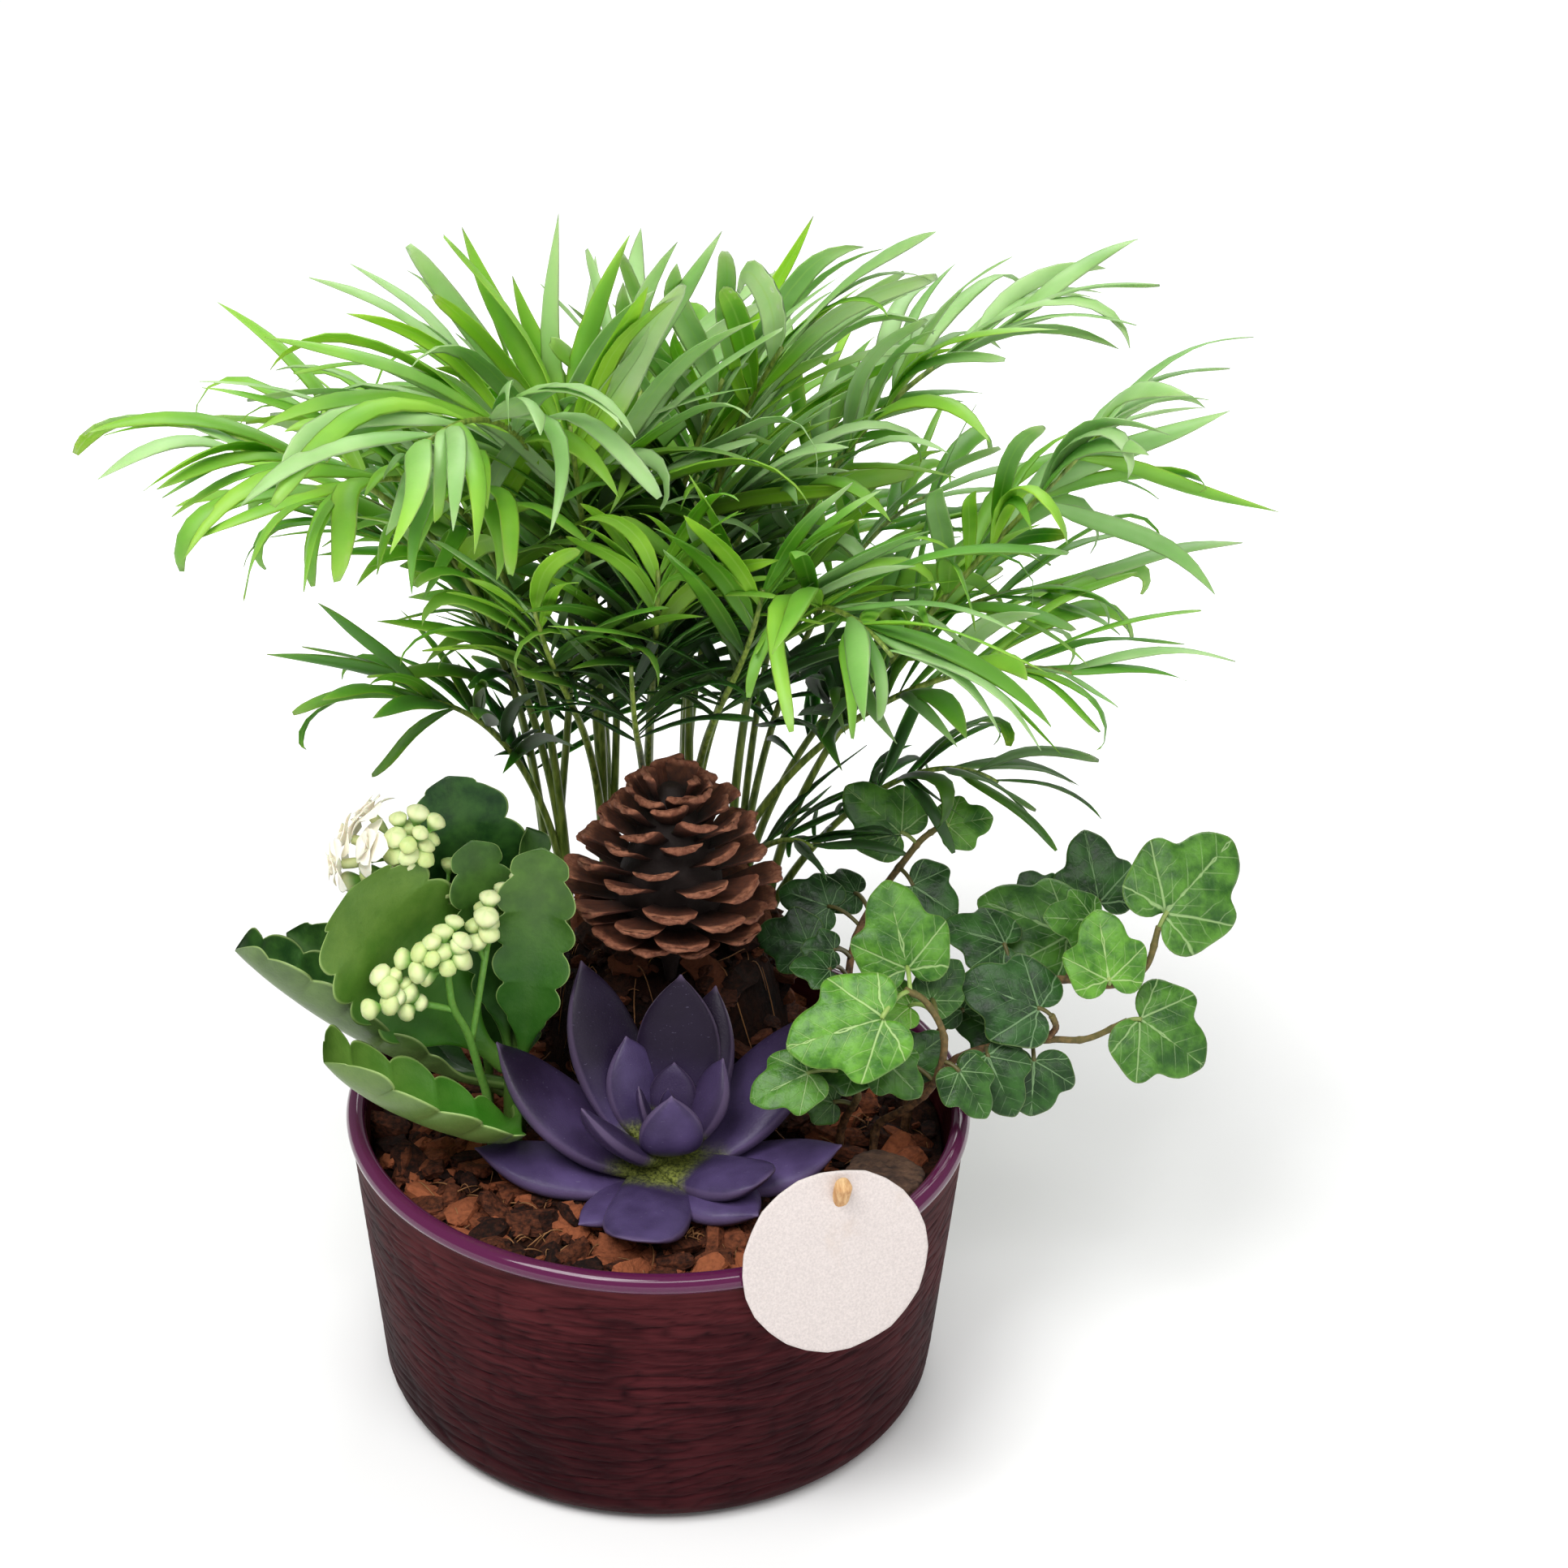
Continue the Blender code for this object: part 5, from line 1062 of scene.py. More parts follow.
def ivy_leaves(leaves, draw):
    """Thin domed blades: rings that share the lobed outline, from the middle of the top out to
    the rim and back below. The blade falls away with the square of the distance from its middle,
    dips along its veins and waves at its rim."""
    foot, tip, width, facing, young = (np.array(row, float) for row in zip(*leaves))
    n = len(width)
    foot, tip, width = foot * MM, tip * MM, width * MM
    length = np.linalg.norm(tip - foot, axis=1) * 1.1
    width = np.maximum(width, length * 0.92) * 1.04
    along = unit(tip - foot)
    normal = square_to(facing, along)
    across = np.cross(along, normal)
    outline = np.array(IVY_OUTLINE + [(-x, y) for x, y in reversed(IVY_OUTLINE[1:-1])])
    stops = np.arange(-3, len(outline) + 4)
    places = np.arange(RIM_POINTS) / RIM_POINTS
    edge = smooth_through(places * len(outline), stops, outline[stops % len(outline)])
    uneven = np.stack([np.ones(RIM_POINTS), edge[:, 1]], -1)
    lobes = 1 + draw.uniform(-0.07, 0.07, (n, 1, 1, 1)) * uneven
    middle = np.array([0, 0.36])
    out = np.array([0.03, 0.14, 0.28, 0.42, 0.56, 0.7, 0.83, 0.94, 1, 1, 0.9, 0.6, 0.3, 0.04])
    spot = (middle + (edge - middle) * out[:, None, None])[None] * lobes
    x, y = spot[..., 0], spot[..., 1]
    droop = IVY_DOME * (x * x * 2.2 + (y - 0.4) ** 2 * 1.6)
    phase = draw.uniform(0, 6, (n, 1, 1))
    wave = 0.022 * out[:, None] ** 3 * np.sin(5 * places * 2 * pi + phase)
    thick = np.array([0.27] * 8 + [0.108, -0.108] + [-0.27] * 4)[:, None] * MM
    rise = (wave - droop - 0.02 * vein_strength(x, y)) * length[:, None, None] + thick
    stack = foot[:, None, None] + offsets(x, width, across) + offsets(y, length, along)
    stack = stack + rise[..., None] * normal[:, None, None]
    marks = {"side": x, "along": y, "tint": young[:, None, None], "rim": out[:, None],
             "below": thick < 0}
    notch = foot + along * 0.1 * length[:, None] - normal * 0.25 * MM
    return stack, marks, notch


def grow_ivy(name, lines, leaves, seed):
    """Smooth stems through the points, leaves, and a bowed stalk from each leaf's notch to the
    nearest place on a stem."""
    draw = np.random.default_rng(seed)
    stack, marks, notches = ivy_leaves(leaves, draw)
    parts, stem_points = [(stack, 0, marks, True)], []
    for number, line in enumerate(lines):
        line = np.array(line, float) * MM
        places = np.linspace(0, 1, 12 * len(line))
        path = smooth_through(places, np.linspace(0, 1, len(line)), line)
        thick = np.linspace(1.5 if number == 0 else 1.1, 1.0, len(path))
        knots = 1 + 0.22 * np.exp(-((places * 9 % 1 - 0.5) / 0.09) ** 2)
        stem = tubes(path[None], (thick * knots)[None] * MM, 8)
        parts.append((stem, 1, {"tint": places[:, None]}, True))
        stem_points.append(path[18 if number == 0 else 4:-2])
    points = np.concatenate(stem_points)
    starts = points[np.linalg.norm(points[:, None] - notches, axis=2).argmin(0)]
    sag = np.linalg.norm(notches - starts, axis=1)[:, None] * 0.16 * UP
    stalks = bowed(starts, notches, 0.35, 0.3, sag, np.linspace(0, 1, 9))
    young = np.array([leaf[4] for leaf in leaves])[:, None, None]
    parts.append((tubes(stalks, 0.75 * MM + 0 * stalks[..., 0], 6), 2, {"tint": young}, True))
    piece(name + "_leaves", parts, [IVY_LEAF, IVY_STEM, IVY_STALK], "ivy_leaf", name)


def ivy_leaf(wire):
    place = wire.place()
    below, tint = wire.mark("below"), wire.mark("tint")
    cloud, fine = place.noise(130, 4, 0.6), place.noise(1100, 3)
    stray = (place.noise(160, 2) - 0.5) * 0.09
    x, y = abs(wire.mark("side")) + stray, wire.mark("along") - IVY_NOTCH + stray
    vein = 0
    for end_x, end_y in IVY_VEINS:
        long = sqrt(end_x**2 + end_y**2)
        run = x * (end_x / long) + y * (end_y / long)
        off = abs(x * (end_y / long) - y * (end_x / long))
        main = (off + run * 0.008).step(0.018, 0.007) * run.step(-0.03, 0.0)
        twig = wire.maths("FRACT", (run - off * 0.9) * 5.2)
        twig = abs(twig - 0.5).step(0.06, 0.015) * off.step(0.26, 0.05) * run.step(0.02, 0.08)
        vein = wire.maths("MAXIMUM", vein, wire.maths("MAXIMUM", main, twig * 0.45))
    dark = cloud.step(0.3, 0.7).mix(colour(10, 38, 12), colour(36, 82, 30))
    light = cloud.step(0.3, 0.7).mix(colour(46, 102, 20), colour(108, 168, 50))
    green = tint.mix(dark, light)
    green = (vein * 0.7).mix(green, tint.mix(colour(118, 152, 108), colour(184, 214, 138)))
    green = (wire.mark("rim").step(0.96, 1.0) * 0.3).mix(green, colour(150, 176, 104))
    green = (below * 0.8).mix(green, colour(96, 130, 70))
    return {
        "Base Color": green,
        "Roughness": 0.3 + cloud * 0.24,
        "Normal": (cloud * 1.5 + fine * 0.15 - vein * 0.6).bump(0.9 * MM, 0.6),
    }


def ivy_stem(wire):
    fine = wire.place().noise(600, 4)
    bark = fine.step(0.3, 0.7).mix(colour(62, 42, 26), colour(128, 92, 58))
    young = wire.mark("tint").step(0.45, 1.0) * 0.6
    return {"Base Color": young.mix(bark, colour(112, 112, 56)), "Normal": fine.bump(0.4 * MM, 0.7)}


def ivy_stalk(wire):
    green = wire.mark("tint").step(0.2, 0.8).mix(colour(88, 76, 40), colour(160, 190, 100))
    return {"Base Color": (wire.place().noise(300) * 0.4).mix(green, colour(110, 120, 60))}


IVY_LEAF = finish("ivy_leaf", ivy_leaf, Specular_IOR_Level=0.38)
IVY_STEM = finish("ivy_stem", ivy_stem, Roughness=0.75)
IVY_STALK = finish("ivy_stalk", ivy_stalk, Roughness=0.5)
for seed, (name, (lines, leaves)) in enumerate(IVIES.items()):
    grow_ivy(name, lines, leaves, seed)

# Tag and peg: a disc cut by hand from thick off-white paper, leaned on the lip and pinned there by
# a peg of pale split wood that is pushed into the mix.

TAG_RADIUS, TAG_THICKNESS, TAG_TURN, TAG_LEAN = 28.3 * MM, 0.8 * MM, 15, 12
TAG_CENTRE, TAG_CUTS, CUT_POINTS = np.array([51.1, -89.9, 98.8]) * MM, 26, 10
PEG_RADIUS, PEG_HEAD, PEG_FOOT = 2.5 * MM, (52.9, -88.6, 124.6), (48.2, -62, 71)


def paper_disc():
    """Rings from the middle of the face out to the cut edge and back behind. The edge is a circle
    cut in short, nearly straight snips, and the sheet is very slightly buckled towards it."""
    turn, lean = radians(TAG_TURN), radians(TAG_LEAN)
    facing = np.array([sin(turn) * cos(lean), -cos(turn) * cos(lean), sin(lean)])
    across = np.array([cos(turn), sin(turn), 0])
    up = np.cross(facing, across)
    draw = Random(5)
    cuts = np.array([TAG_RADIUS + draw.uniform(-0.5, 0.4) * MM for _ in range(TAG_CUTS)])
    number = np.arange(TAG_CUTS * CUT_POINTS)
    angle = number * 2 * pi / len(number)
    starts = angle[::CUT_POINTS]
    corners = cuts[:, None] * np.stack([np.cos(starts), np.sin(starts)], -1)
    share = (number % CUT_POINTS / CUT_POINTS)[:, None]
    ends = np.repeat(np.roll(corners, -1, 0), CUT_POINTS, 0)
    edge = np.repeat(corners, CUT_POINTS, 0) * (1 - share) + ends * share
    rounder = cuts.mean() / np.linalg.norm(edge, axis=1) - 1
    edge = edge * (1 + 0.35 * rounder)[:, None]
    out = np.array([0.01, *np.linspace(0.08, 0.96, 14), 0.992, 1, 1, 0.992, 0.5, 0.01])[:, None]
    face = np.array([*np.ones(16), 0.75, 0.25, 0, 0, 0])[:, None]
    x, y = out * edge[:, 0], out * edge[:, 1]
    buckle = 0.22 * MM * out**2 * np.sin(angle * 2 + 0.8) + 0.1 * MM * out**3 * np.sin(angle * 5)
    rise = face * TAG_THICKNESS + buckle
    grid = x[..., None] * across + y[..., None] * up + rise[..., None] * facing
    return (TAG_CENTRE + grid)[None]


def tag_paper(wire):
    place = wire.place()
    pulp, stain = place.noise(1500, 4, 0.6), place.noise(70, 4, 0.6)
    sheet = pulp.step(0.25, 0.75).mix(colour(200, 190, 187), colour(220, 210, 206))
    sheet = (stain.step(0.6, 0.75) * 0.3).mix(sheet, colour(200, 182, 168))
    return {"Base Color": sheet, "Normal": (pulp + stain * 2).bump(0.15 * MM, 0.5)}


def peg_wood(wire):
    place = wire.place()
    grain = place.stretched(1, 0.3, 0.25).noise(900, 4, 0.6)
    wood = grain.step(0.3, 0.7).mix(colour(190, 140, 88), colour(236, 200, 148))
    return {"Base Color": (place.noise(500) * 0.4).mix(wood, colour(150, 96, 54)),
            "Normal": grain.bump(0.3 * MM, 0.8)}


TAG_PAPER = finish("tag_paper", tag_paper, Roughness=0.85)
PEG_WOOD = finish("peg_wood", peg_wood, Roughness=0.75)
piece("paper_tag", [(paper_disc(), 0, {}, True)], [TAG_PAPER], "paper", "tag")
head, foot = np.array(PEG_HEAD) * MM, np.array(PEG_FOOT) * MM
shares = np.array([0, 0.003, 0.006, 0.012, 0.1, 0.3, 0.5, 0.7, 0.9, 1])
girths = PEG_RADIUS * np.array([0.05, 0.8, 0.93, 1, 1, 1, 1, 1, 1, 0.9])
peg = tubes((head + (foot - head) * shares[:, None])[None], girths[None], 18)
split = 1 + 0.07 * ripple(np.arange(18) * 2 * pi / 18, shares[:, None], 6, (1, 5), (0.5, 2), 4)
axis = peg.mean(2, keepdims=True)
piece("split_peg", [(axis + (peg - axis) * split[None, ..., None], 0, {}, True)],
      [PEG_WOOD], "pale_wood", "tag_peg")

# Parlour palm: slim shoots that stand close together behind the cone, each with arching fronds. A
# frond is a green rib that carries pairs of long, thin, pleated leaflets on its outer part.

RIB_STEPS, RIB_CORNERS = 39, [0, 8, 16, 24, 31, 39]
LEAFLET_STEPS, LEAFLET_WIDTH = 25, 8 * MM
# How deep a shoot's stem stands in the mix, and how far above the mix its ribs part.
STEM_DEPTH, RIBS_PART = 14 * MM, 7.2 * MM
# How far a rib may bow to a side, in millimetres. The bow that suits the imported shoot's corners
# best is taken.
RIB_BOWS = (0, 4, -4, 8, -8, 12, -12, 16, -16)
# Each shoot: where it stands, then its fronds. A frond: the tip of its rib, the pitch of the
# rib there, how much of its height it climbs before it leans out, the share of the rib that is
# bare, its pairs of leaflets, their length and how far they arch over in degrees.
PALM_SHOOTS = [
    ((-30, 60), [
        ((-122, 10, 309), 8, 0.4, 0.5, 6, 82, 38),
        ((-92, -20, 305), -12, 0.45, 0.55, 6, 78, 48),
        ((-78, 32, 222), 12, 0.35, 0.6, 4, 54, 16),
    ]),
    ((-36, 71), [
        ((-98, 106, 262), 10, 0.4, 0.52, 5, 76, 30),
        ((-57, 60, 312), 45, 0.45, 0.5, 5, 80, 22),
        ((-104, 62, 270), 12, 0.4, 0.55, 5, 76, 34),
    ]),
    ((-18, 63), [
        ((-62, -46, 330), -5, 0.6, 0.56, 6, 84, 42),
        ((-36, -6, 268), 62, 0.55, 0.6, 5, 62, 20),
        ((-25, 2, 320), 62, 0.62, 0.6, 6, 96, 10),
    ]),
    ((-16, 82), [
        ((-50, 102, 292), 28, 0.45, 0.52, 5, 82, 26),
        ((-4, 96, 304), 50, 0.5, 0.5, 5, 84, 18),
        ((-34, 150, 262), 5, 0.45, 0.52, 5, 80, 36),
    ]),
    ((-4, 69), [
        ((0, -12, 282), 70, 0.55, 0.58, 6, 60, 24),
        ((-8, 2, 246), 74, 0.6, 0.64, 4, 48, 18),
        ((19, 34, 324), 60, 0.55, 0.55, 5, 90, 12),
    ]),
    ((10, 62), [
        ((30, -12, 276), 66, 0.55, 0.58, 6, 76, 14),
        ((66, -28, 262), -25, 0.62, 0.6, 5, 76, 36),
        ((22, 26, 290), 35, 0.66, 0.6, 5, 80, 22),
    ]),
    ((8, 84), [
        ((20, 152, 286), 12, 0.45, 0.5, 5, 84, 34),
        ((36, 32, 334), 48, 0.52, 0.52, 6, 88, 20),
        ((64, 112, 288), 22, 0.45, 0.52, 5, 82, 26),
    ]),
    ((24, 65), [
        ((109, 72, 330), 22, 0.45, 0.52, 6, 84, 40),
        ((126, 20, 236), -5, 0.36, 0.56, 5, 74, 26),
        ((50, 36, 168), -6, 0.3, 0.5, 4, 46, 14),
    ]),
    ((27, 79), [
        ((95, 130, 256), 8, 0.4, 0.52, 5, 78, 34),
        ((130, 62, 248), 4, 0.4, 0.54, 5, 82, 26),
        ((60, 150, 244), -2, 0.4, 0.55, 5, 74, 34),
    ]),
    ((37, 67), [
        ((130, 22, 312), 52, 0.34, 0.52, 6, 80, 46),
        ((109, 40, 189), -28, 0.3, 0.55, 4, 52, 40),
    ]),
]
# Leaflets that stand out of the rows, by shoot and frond: the tip of each.
STRAY_LEAFLETS = {
    (2, 2): [(-68, 2, 372), (-53, 0, 377), (-40, 6, 362), (-27, 2, 380), (-8, 2, 374),
             (5, 4, 372), (17, 0, 376)],
    (9, 0): [(184, 20, 288), (171, 26, 300), (165, 18, 320), (166, 14, 264)],
    (0, 2): [(-121, 32, 238), (-119, 30, 208), (-104, 34, 254), (-113, 22, 222), (-90, 26, 195)],
}
LEAFLET_POINTED = ([0, 0.06, 0.18, 0.34, 0.6, 0.8, 0.92, 1],
                   [0.2, 0.36, 0.82, 1, 0.97, 0.68, 0.34, 0.03])
LEAFLET_BLUNT = ([0, 0.06, 0.18, 0.34, 0.6, 0.84, 0.95, 1],
                 [0.2, 0.36, 0.8, 1, 1, 0.86, 0.6, 0.3])
# The middle of the clump's shade, how far it reaches, and the heights where it starts and ends.
SHADE_MIDDLE, SHADE_REACH, SHADE_HEIGHTS = (6 * MM, 40 * MM), 95 * MM, (200 * MM, 360 * MM)
# Changes that keep a leaflet clear of its neighbours: further from the rib, further over (both
# in degrees), and a shorter blade.
LEAFLET_TRIES = [
    (0, 0, 1), (0, 12, 1), (0, -12, 1), (9, 0, 1), (-9, 0, 1), (0, 25, 1), (0, -25, 1),
    (12, 18, 0.88), (-12, -18, 0.88), (0, 0, 0.7), (0, 30, 0.7), (0, -30, 0.7), (0, 0, 0.5),
]
# How near to a corner a leaflet's tip has to be. Then the radius round the cone's axis that the
# leaflets between the rows keep out of, and the heights where they are clear of the cone and of
# the low plants.
CORNER_MISS = 0.4 * MM
CONE_ROOM, ABOVE_CONE, ABOVE_PLANTS = 42 * MM, 212 * MM, 150 * MM


def turned(vector, axis, degrees):
    """vector turned about a unit axis by the right-hand rule."""
    along = axis * np.dot(axis, vector)
    angle = radians(degrees)
    return along + (vector - along) * cos(angle) + np.cross(axis, vector) * sin(angle)


def rib_line(foot, tip, pitch, climb, shift):
    """Points of the curve that a frond's rib follows, upright at the foot and at the given pitch
    at its tip; and the same points on the straight chords between six of them."""
    run = tip - foot
    out = unit(run * (1, 1, 0))
    side = np.cross(UP, out) * shift
    end = cos(radians(pitch)) * out + sin(radians(pitch)) * UP
    first = foot + UP * run[2] * climb + out * 2 * MM + side
    second = tip - end * np.linalg.norm(run) * 0.36 + side
    steps = np.arange(RIB_STEPS + 1)
    curve = bezier(foot, first, second, tip, steps / RIB_STEPS)
    chords = [np.interp(steps, RIB_CORNERS, row) for row in curve[RIB_CORNERS].T]
    return curve, np.array(chords).T


def leaflet_line(root, heading, down, length, arch):
    """Points along a leaflet whose heading turns towards down by arch degrees in all, slowly at
    first: arch times share to the power of 1.25. Gives the points and the way they turn."""
    pull = square_to(down, heading)
    bends = np.radians(arch) * np.linspace(0, 1, LEAFLET_STEPS + 1) ** 1.25
    headings = np.cos(bends)[:, None] * heading + np.sin(bends)[:, None] * pull
    run = np.vstack([[0, 0, 0], np.cumsum(headings[1:], axis=0)])
    return root + run * length / LEAFLET_STEPS, pull


def leaflet(curve, chords, place, share, side_way, length, arch, draw, corners):
    """One leaflet: its line, its headings, the way its blade lies, and its length. Its angle, lift,
    twist, size and bend are drawn. With corners it is the try whose tip lies on a corner of the
    packed shoot. Without them there is one try, and it has to be clear of the cone and the low
    plants. A leaflet that fails is None."""
    low = int(place)
    high = min(low + 1, RIB_STEPS)
    root = chords[low] + (chords[high] - chords[low]) * (place - low)
    along = unit(chords[high] - chords[low - 1])
    flat = unit(along * (1, 1, 0.0) + (0, 0, 1e-6))
    across = unit(np.cross(along, np.cross(UP, flat) if abs(along[2]) > 1 else UP))
    normal = np.cross(across, along)
    side = across if side_way else -across
    angle = 60 - 38 * share + draw.uniform(-5, 5)
    lift = 16 + draw.uniform(-9, 9)
    twist = draw.uniform(-14, 14)
    if not len(corners):
        angle, lift, twist = angle * 0.9 + 4, lift * 2.4 - 12, twist * 2
    size = length * MM * (0.74 + 0.26 * sin(pi * min(1, share + 0.12))) * draw.uniform(0.92, 1.06)
    bend = arch * draw.uniform(0.7, 1.25)
    outward = side * cos(radians(lift)) + normal * sin(radians(lift))
    down = -0.75 * UP - 0.5 * normal
    found = []
    for wider, over, shorter in LEAFLET_TRIES if len(corners) else LEAFLET_TRIES[:1]:
        turn = radians(angle + wider)
        heading = cos(turn) * along + sin(turn) * outward
        line, pull = leaflet_line(root, heading, down, size * shorter, bend + over)
        miss = np.linalg.norm(corners - line[-1], axis=1).min() if len(corners) else 0
        level = turned(unit(np.cross(heading, pull)), heading, twist)
        found.append((miss, line, level, pull, size * shorter))
    miss, line, level, pull, size = min(found, key=lambda one: one[0])
    beside = np.hypot(*(line[:, :2] - CONE_AXIS).T) > CONE_ROOM
    clear = np.all((line[:, 2] > ABOVE_CONE) | (beside & (line[:, 2] > ABOVE_PLANTS)))
    if miss > CORNER_MISS or not (clear or len(corners)):
        return None
    smooth_root = curve[low] + (curve[high] - curve[low]) * (place - low)
    shares = np.linspace(0, 1, LEAFLET_STEPS + 1)[:, None]
    line = line + (smooth_root - root) * (1 - shares) ** 2
    line = line - 0.05 * size * np.sin(pi * shares) * pull
    headings = unit(np.gradient(line, axis=0))
    return line, headings, square_to(level, headings), size


def root_place(bare, share, number):
    """Where on the rib a leaflet grows, in the rib's steps: at its share of the part that isn't
    bare, and on one side a little lower."""
    return (bare + (0.985 - bare) * share) * RIB_STEPS - 0.8 * (number % 2)


def frond_leaflets(curve, chords, bare, pairs, length, arch, draw, corners):
    """The leaflets of one frond, pair by pair, and between them shorter or longer ones that stand
    less in line. Each ends with its share of the full width."""
    leaflets = []
    for number in range(pairs * 2):
        share = (number // 2) / (pairs - 1)
        place = root_place(bare, share, number)
        one = leaflet(curve, chords, place, share, number % 2, length, arch, draw, corners)
        leaflets.append((one, 1))
    more = Random(int(place * 1000) + pairs)
    for number in range(pairs * 4):
        share = (number // 4 - 0.8 + more.uniform(-0.4, 0.4)) / (pairs - 1)
        place = root_place(bare, share, number)
        reach, over = length * more.uniform(0.66, 1.12), arch * more.uniform(0.3, 2)
        one = leaflet(curve, chords, place, share, number % 2, reach, over, more, [])
        leaflets.append((one, more.uniform(0.5, 0.92)))
    return [(*one, wide) for one, wide in leaflets if one]


def stray_leaflet(curve, tip):
    """A leaflet from near the end of a rib's curve to the given tip: a line that bows up a little,
    with its blade turned to the front and its width four fifths of the full one."""
    root = curve[RIB_STEPS - 6 + int(abs(tip[0]) / MM) % 5]
    run = tip - root
    first, second = root + run * 0.3 + UP * 3 * MM, tip - run * 0.3 + UP * 4 * MM
    line = bezier(root, first, second, tip, np.linspace(0, 1, LEAFLET_STEPS + 1))
    headings = unit(np.gradient(line, axis=0))
    return line, headings, unit(np.cross(headings, (0.0, 1.0, 0.2))), np.linalg.norm(run), 0.8


def leaflet_blades(leaflets, draw):
    """Thin straps on the leaflets' lines, broad as far as their last third, with a shallow V
    across them. Each line sways to a side and the blade turns slowly about it. Of those that
    don't point up, one in four curls over near its end, and one in four ends bluntly."""
    lines, headings, level, size, wide = (np.array(row) for row in zip(*leaflets))
    n, shares = len(size), np.linspace(0, 1, LEAFLET_STEPS + 1)
    lying = np.clip(1.3 - 1.6 * headings[:, -1, 2], 0, 1)
    curl = np.radians(draw.uniform(40, 130, n)) * lying * (draw.uniform(0, 1, n) < 0.28)
    turn = curl[:, None, None] * (np.clip(shares - 0.62, 0, 1) / 0.38)[:, None] ** 1.6
    under = np.cross(headings, level)
    under = under * np.where(np.sum(under * UP, -1, keepdims=True) > 0, -1, 1)
    headings = headings * np.cos(turn) + under * np.sin(turn)
    steps = headings[:, 1:] * size[:, None, None] / LEAFLET_STEPS
    lines = lines[:, :1] + np.concatenate([0 * steps[:, :1], np.cumsum(steps, 1)], 1)
    sway = draw.normal(0, 0.045, (n, 1)) * np.sin(pi * shares)
    sway = sway + draw.normal(0, 0.016, (n, 1)) * np.sin(2 * pi * shares)
    lines = lines + (sway * size[:, None])[..., None] * level
    headings = unit(np.gradient(lines, axis=1))
    level = square_to(level, headings)
    twist = (draw.normal(0, 0.6, (n, 1)) * shares**1.4 + draw.normal(0, 0.16, (n, 1)))[..., None]
    level = level * np.cos(twist) + np.cross(headings, level) * np.sin(twist)
    rows = np.array([0, 1, 3, 5, 8, 11, 14, 17, 19, 21, 23, 24, 25])
    shares, lines, across = shares[rows], lines[:, rows], level[:, rows]
    normal = np.cross(across, headings[:, rows])
    pointed, blunt = (smooth_through(shares, *row) for row in (LEAFLET_POINTED, LEAFLET_BLUNT))
    outline = np.where(draw.uniform(0, 1, (n, 1)) < 0.26, blunt, pointed)
    half = LEAFLET_WIDTH / 2 * (wide * np.minimum(1, size / (66 * MM)))[:, None] * outline
    wave = draw.uniform(0, 6, (n, 1))
    lift = half * (0.5 * (1 - 0.6 * shares)) + 0.3 * MM * np.sin(shares * 9 + wave)
    thin = 0.2 * MM * (1.05 - shares**4)
    stack, marks = blades(lines, across, normal, half, lift, thin, thin, 10)
    x, y, z = lines[..., 0] - SHADE_MIDDLE[0], lines[..., 1] - SHADE_MIDDLE[1], lines[..., 2]
    inside = np.clip(1 - np.hypot(x, y) / SHADE_REACH, 0, 1)
    low, high = SHADE_HEIGHTS
    light = np.clip((z - low) / (high - low) - 0.7 * inside + 0.3, 0, 1)[..., None]
    marks |= {"along": shares[:, None], "tint": draw.uniform(0, 1, n)[:, None, None],
              "light": light}
    return stack, marks


def palm_green(wire):
    place = wire.place()
    along, across, below = wire.mark("along"), wire.mark("across"), wire.mark("below")
    tint, cloud, fine = wire.mark("tint"), place.noise(60, 3), place.noise(800, 2)
    patch = (tint * 30).beside(along * 0.1).noise(10, 2, 0.5)
    grain = (patch * 0.7 + cloud * 0.3).step(0.32, 0.68)
    green = grain.mix(colour(44, 102, 12), colour(98, 160, 30))
    # Partly painted light: besides each leaflet's drawn tint, the yellow-green share grows towards
    # the left and the top, and the pale grey-green, a painted sheen, grows towards the right and
    # the top.
    right, top = place.part(0), place.part(2).step(270 * MM, 350 * MM)
    young = (tint + right * 1.6 - top * 0.4).step(0.62, 0.2)
    pale = (tint + right * 2.2 + top * 0.6).step(0.78, 0.95) * 0.85
    green = young.mix(green, grain.mix(colour(92, 150, 18), colour(150, 202, 50)))
    green = pale.mix(green, grain.mix(colour(118, 160, 88), colour(182, 212, 156)))
    green = (abs(across).step(0.14, 0.0) * 0.35 * (1 - below)).mix(green, colour(158, 196, 96))
    green = (below * 0.3).mix(green, colour(110, 156, 80))
    green = (wire.mark("light").step(0.56, 0.12) * 0.93).mix(green, colour(9, 34, 6))
    return {
        "Base Color": green,
        "Roughness": 0.38 + cloud * 0.2,
        "Normal": (patch + fine * 0.2).bump(0.4 * MM, 0.5),
    }


def palm_rib(wire):
    place = wire.place()
    height, streaks = place.part(2), place.stretched(1, 1, 0.15).noise(700, 3)
    green = streaks.step(0.3, 0.7).mix(colour(78, 104, 30), colour(138, 158, 66))
    # Painted shade: the ribs darken lower down in the clump.
    green = (height.step(180 * MM, 120 * MM) * 0.45).mix(green, colour(24, 44, 16))
    return {"Base Color": green, "Normal": streaks.bump(0.25 * MM, 0.5)}


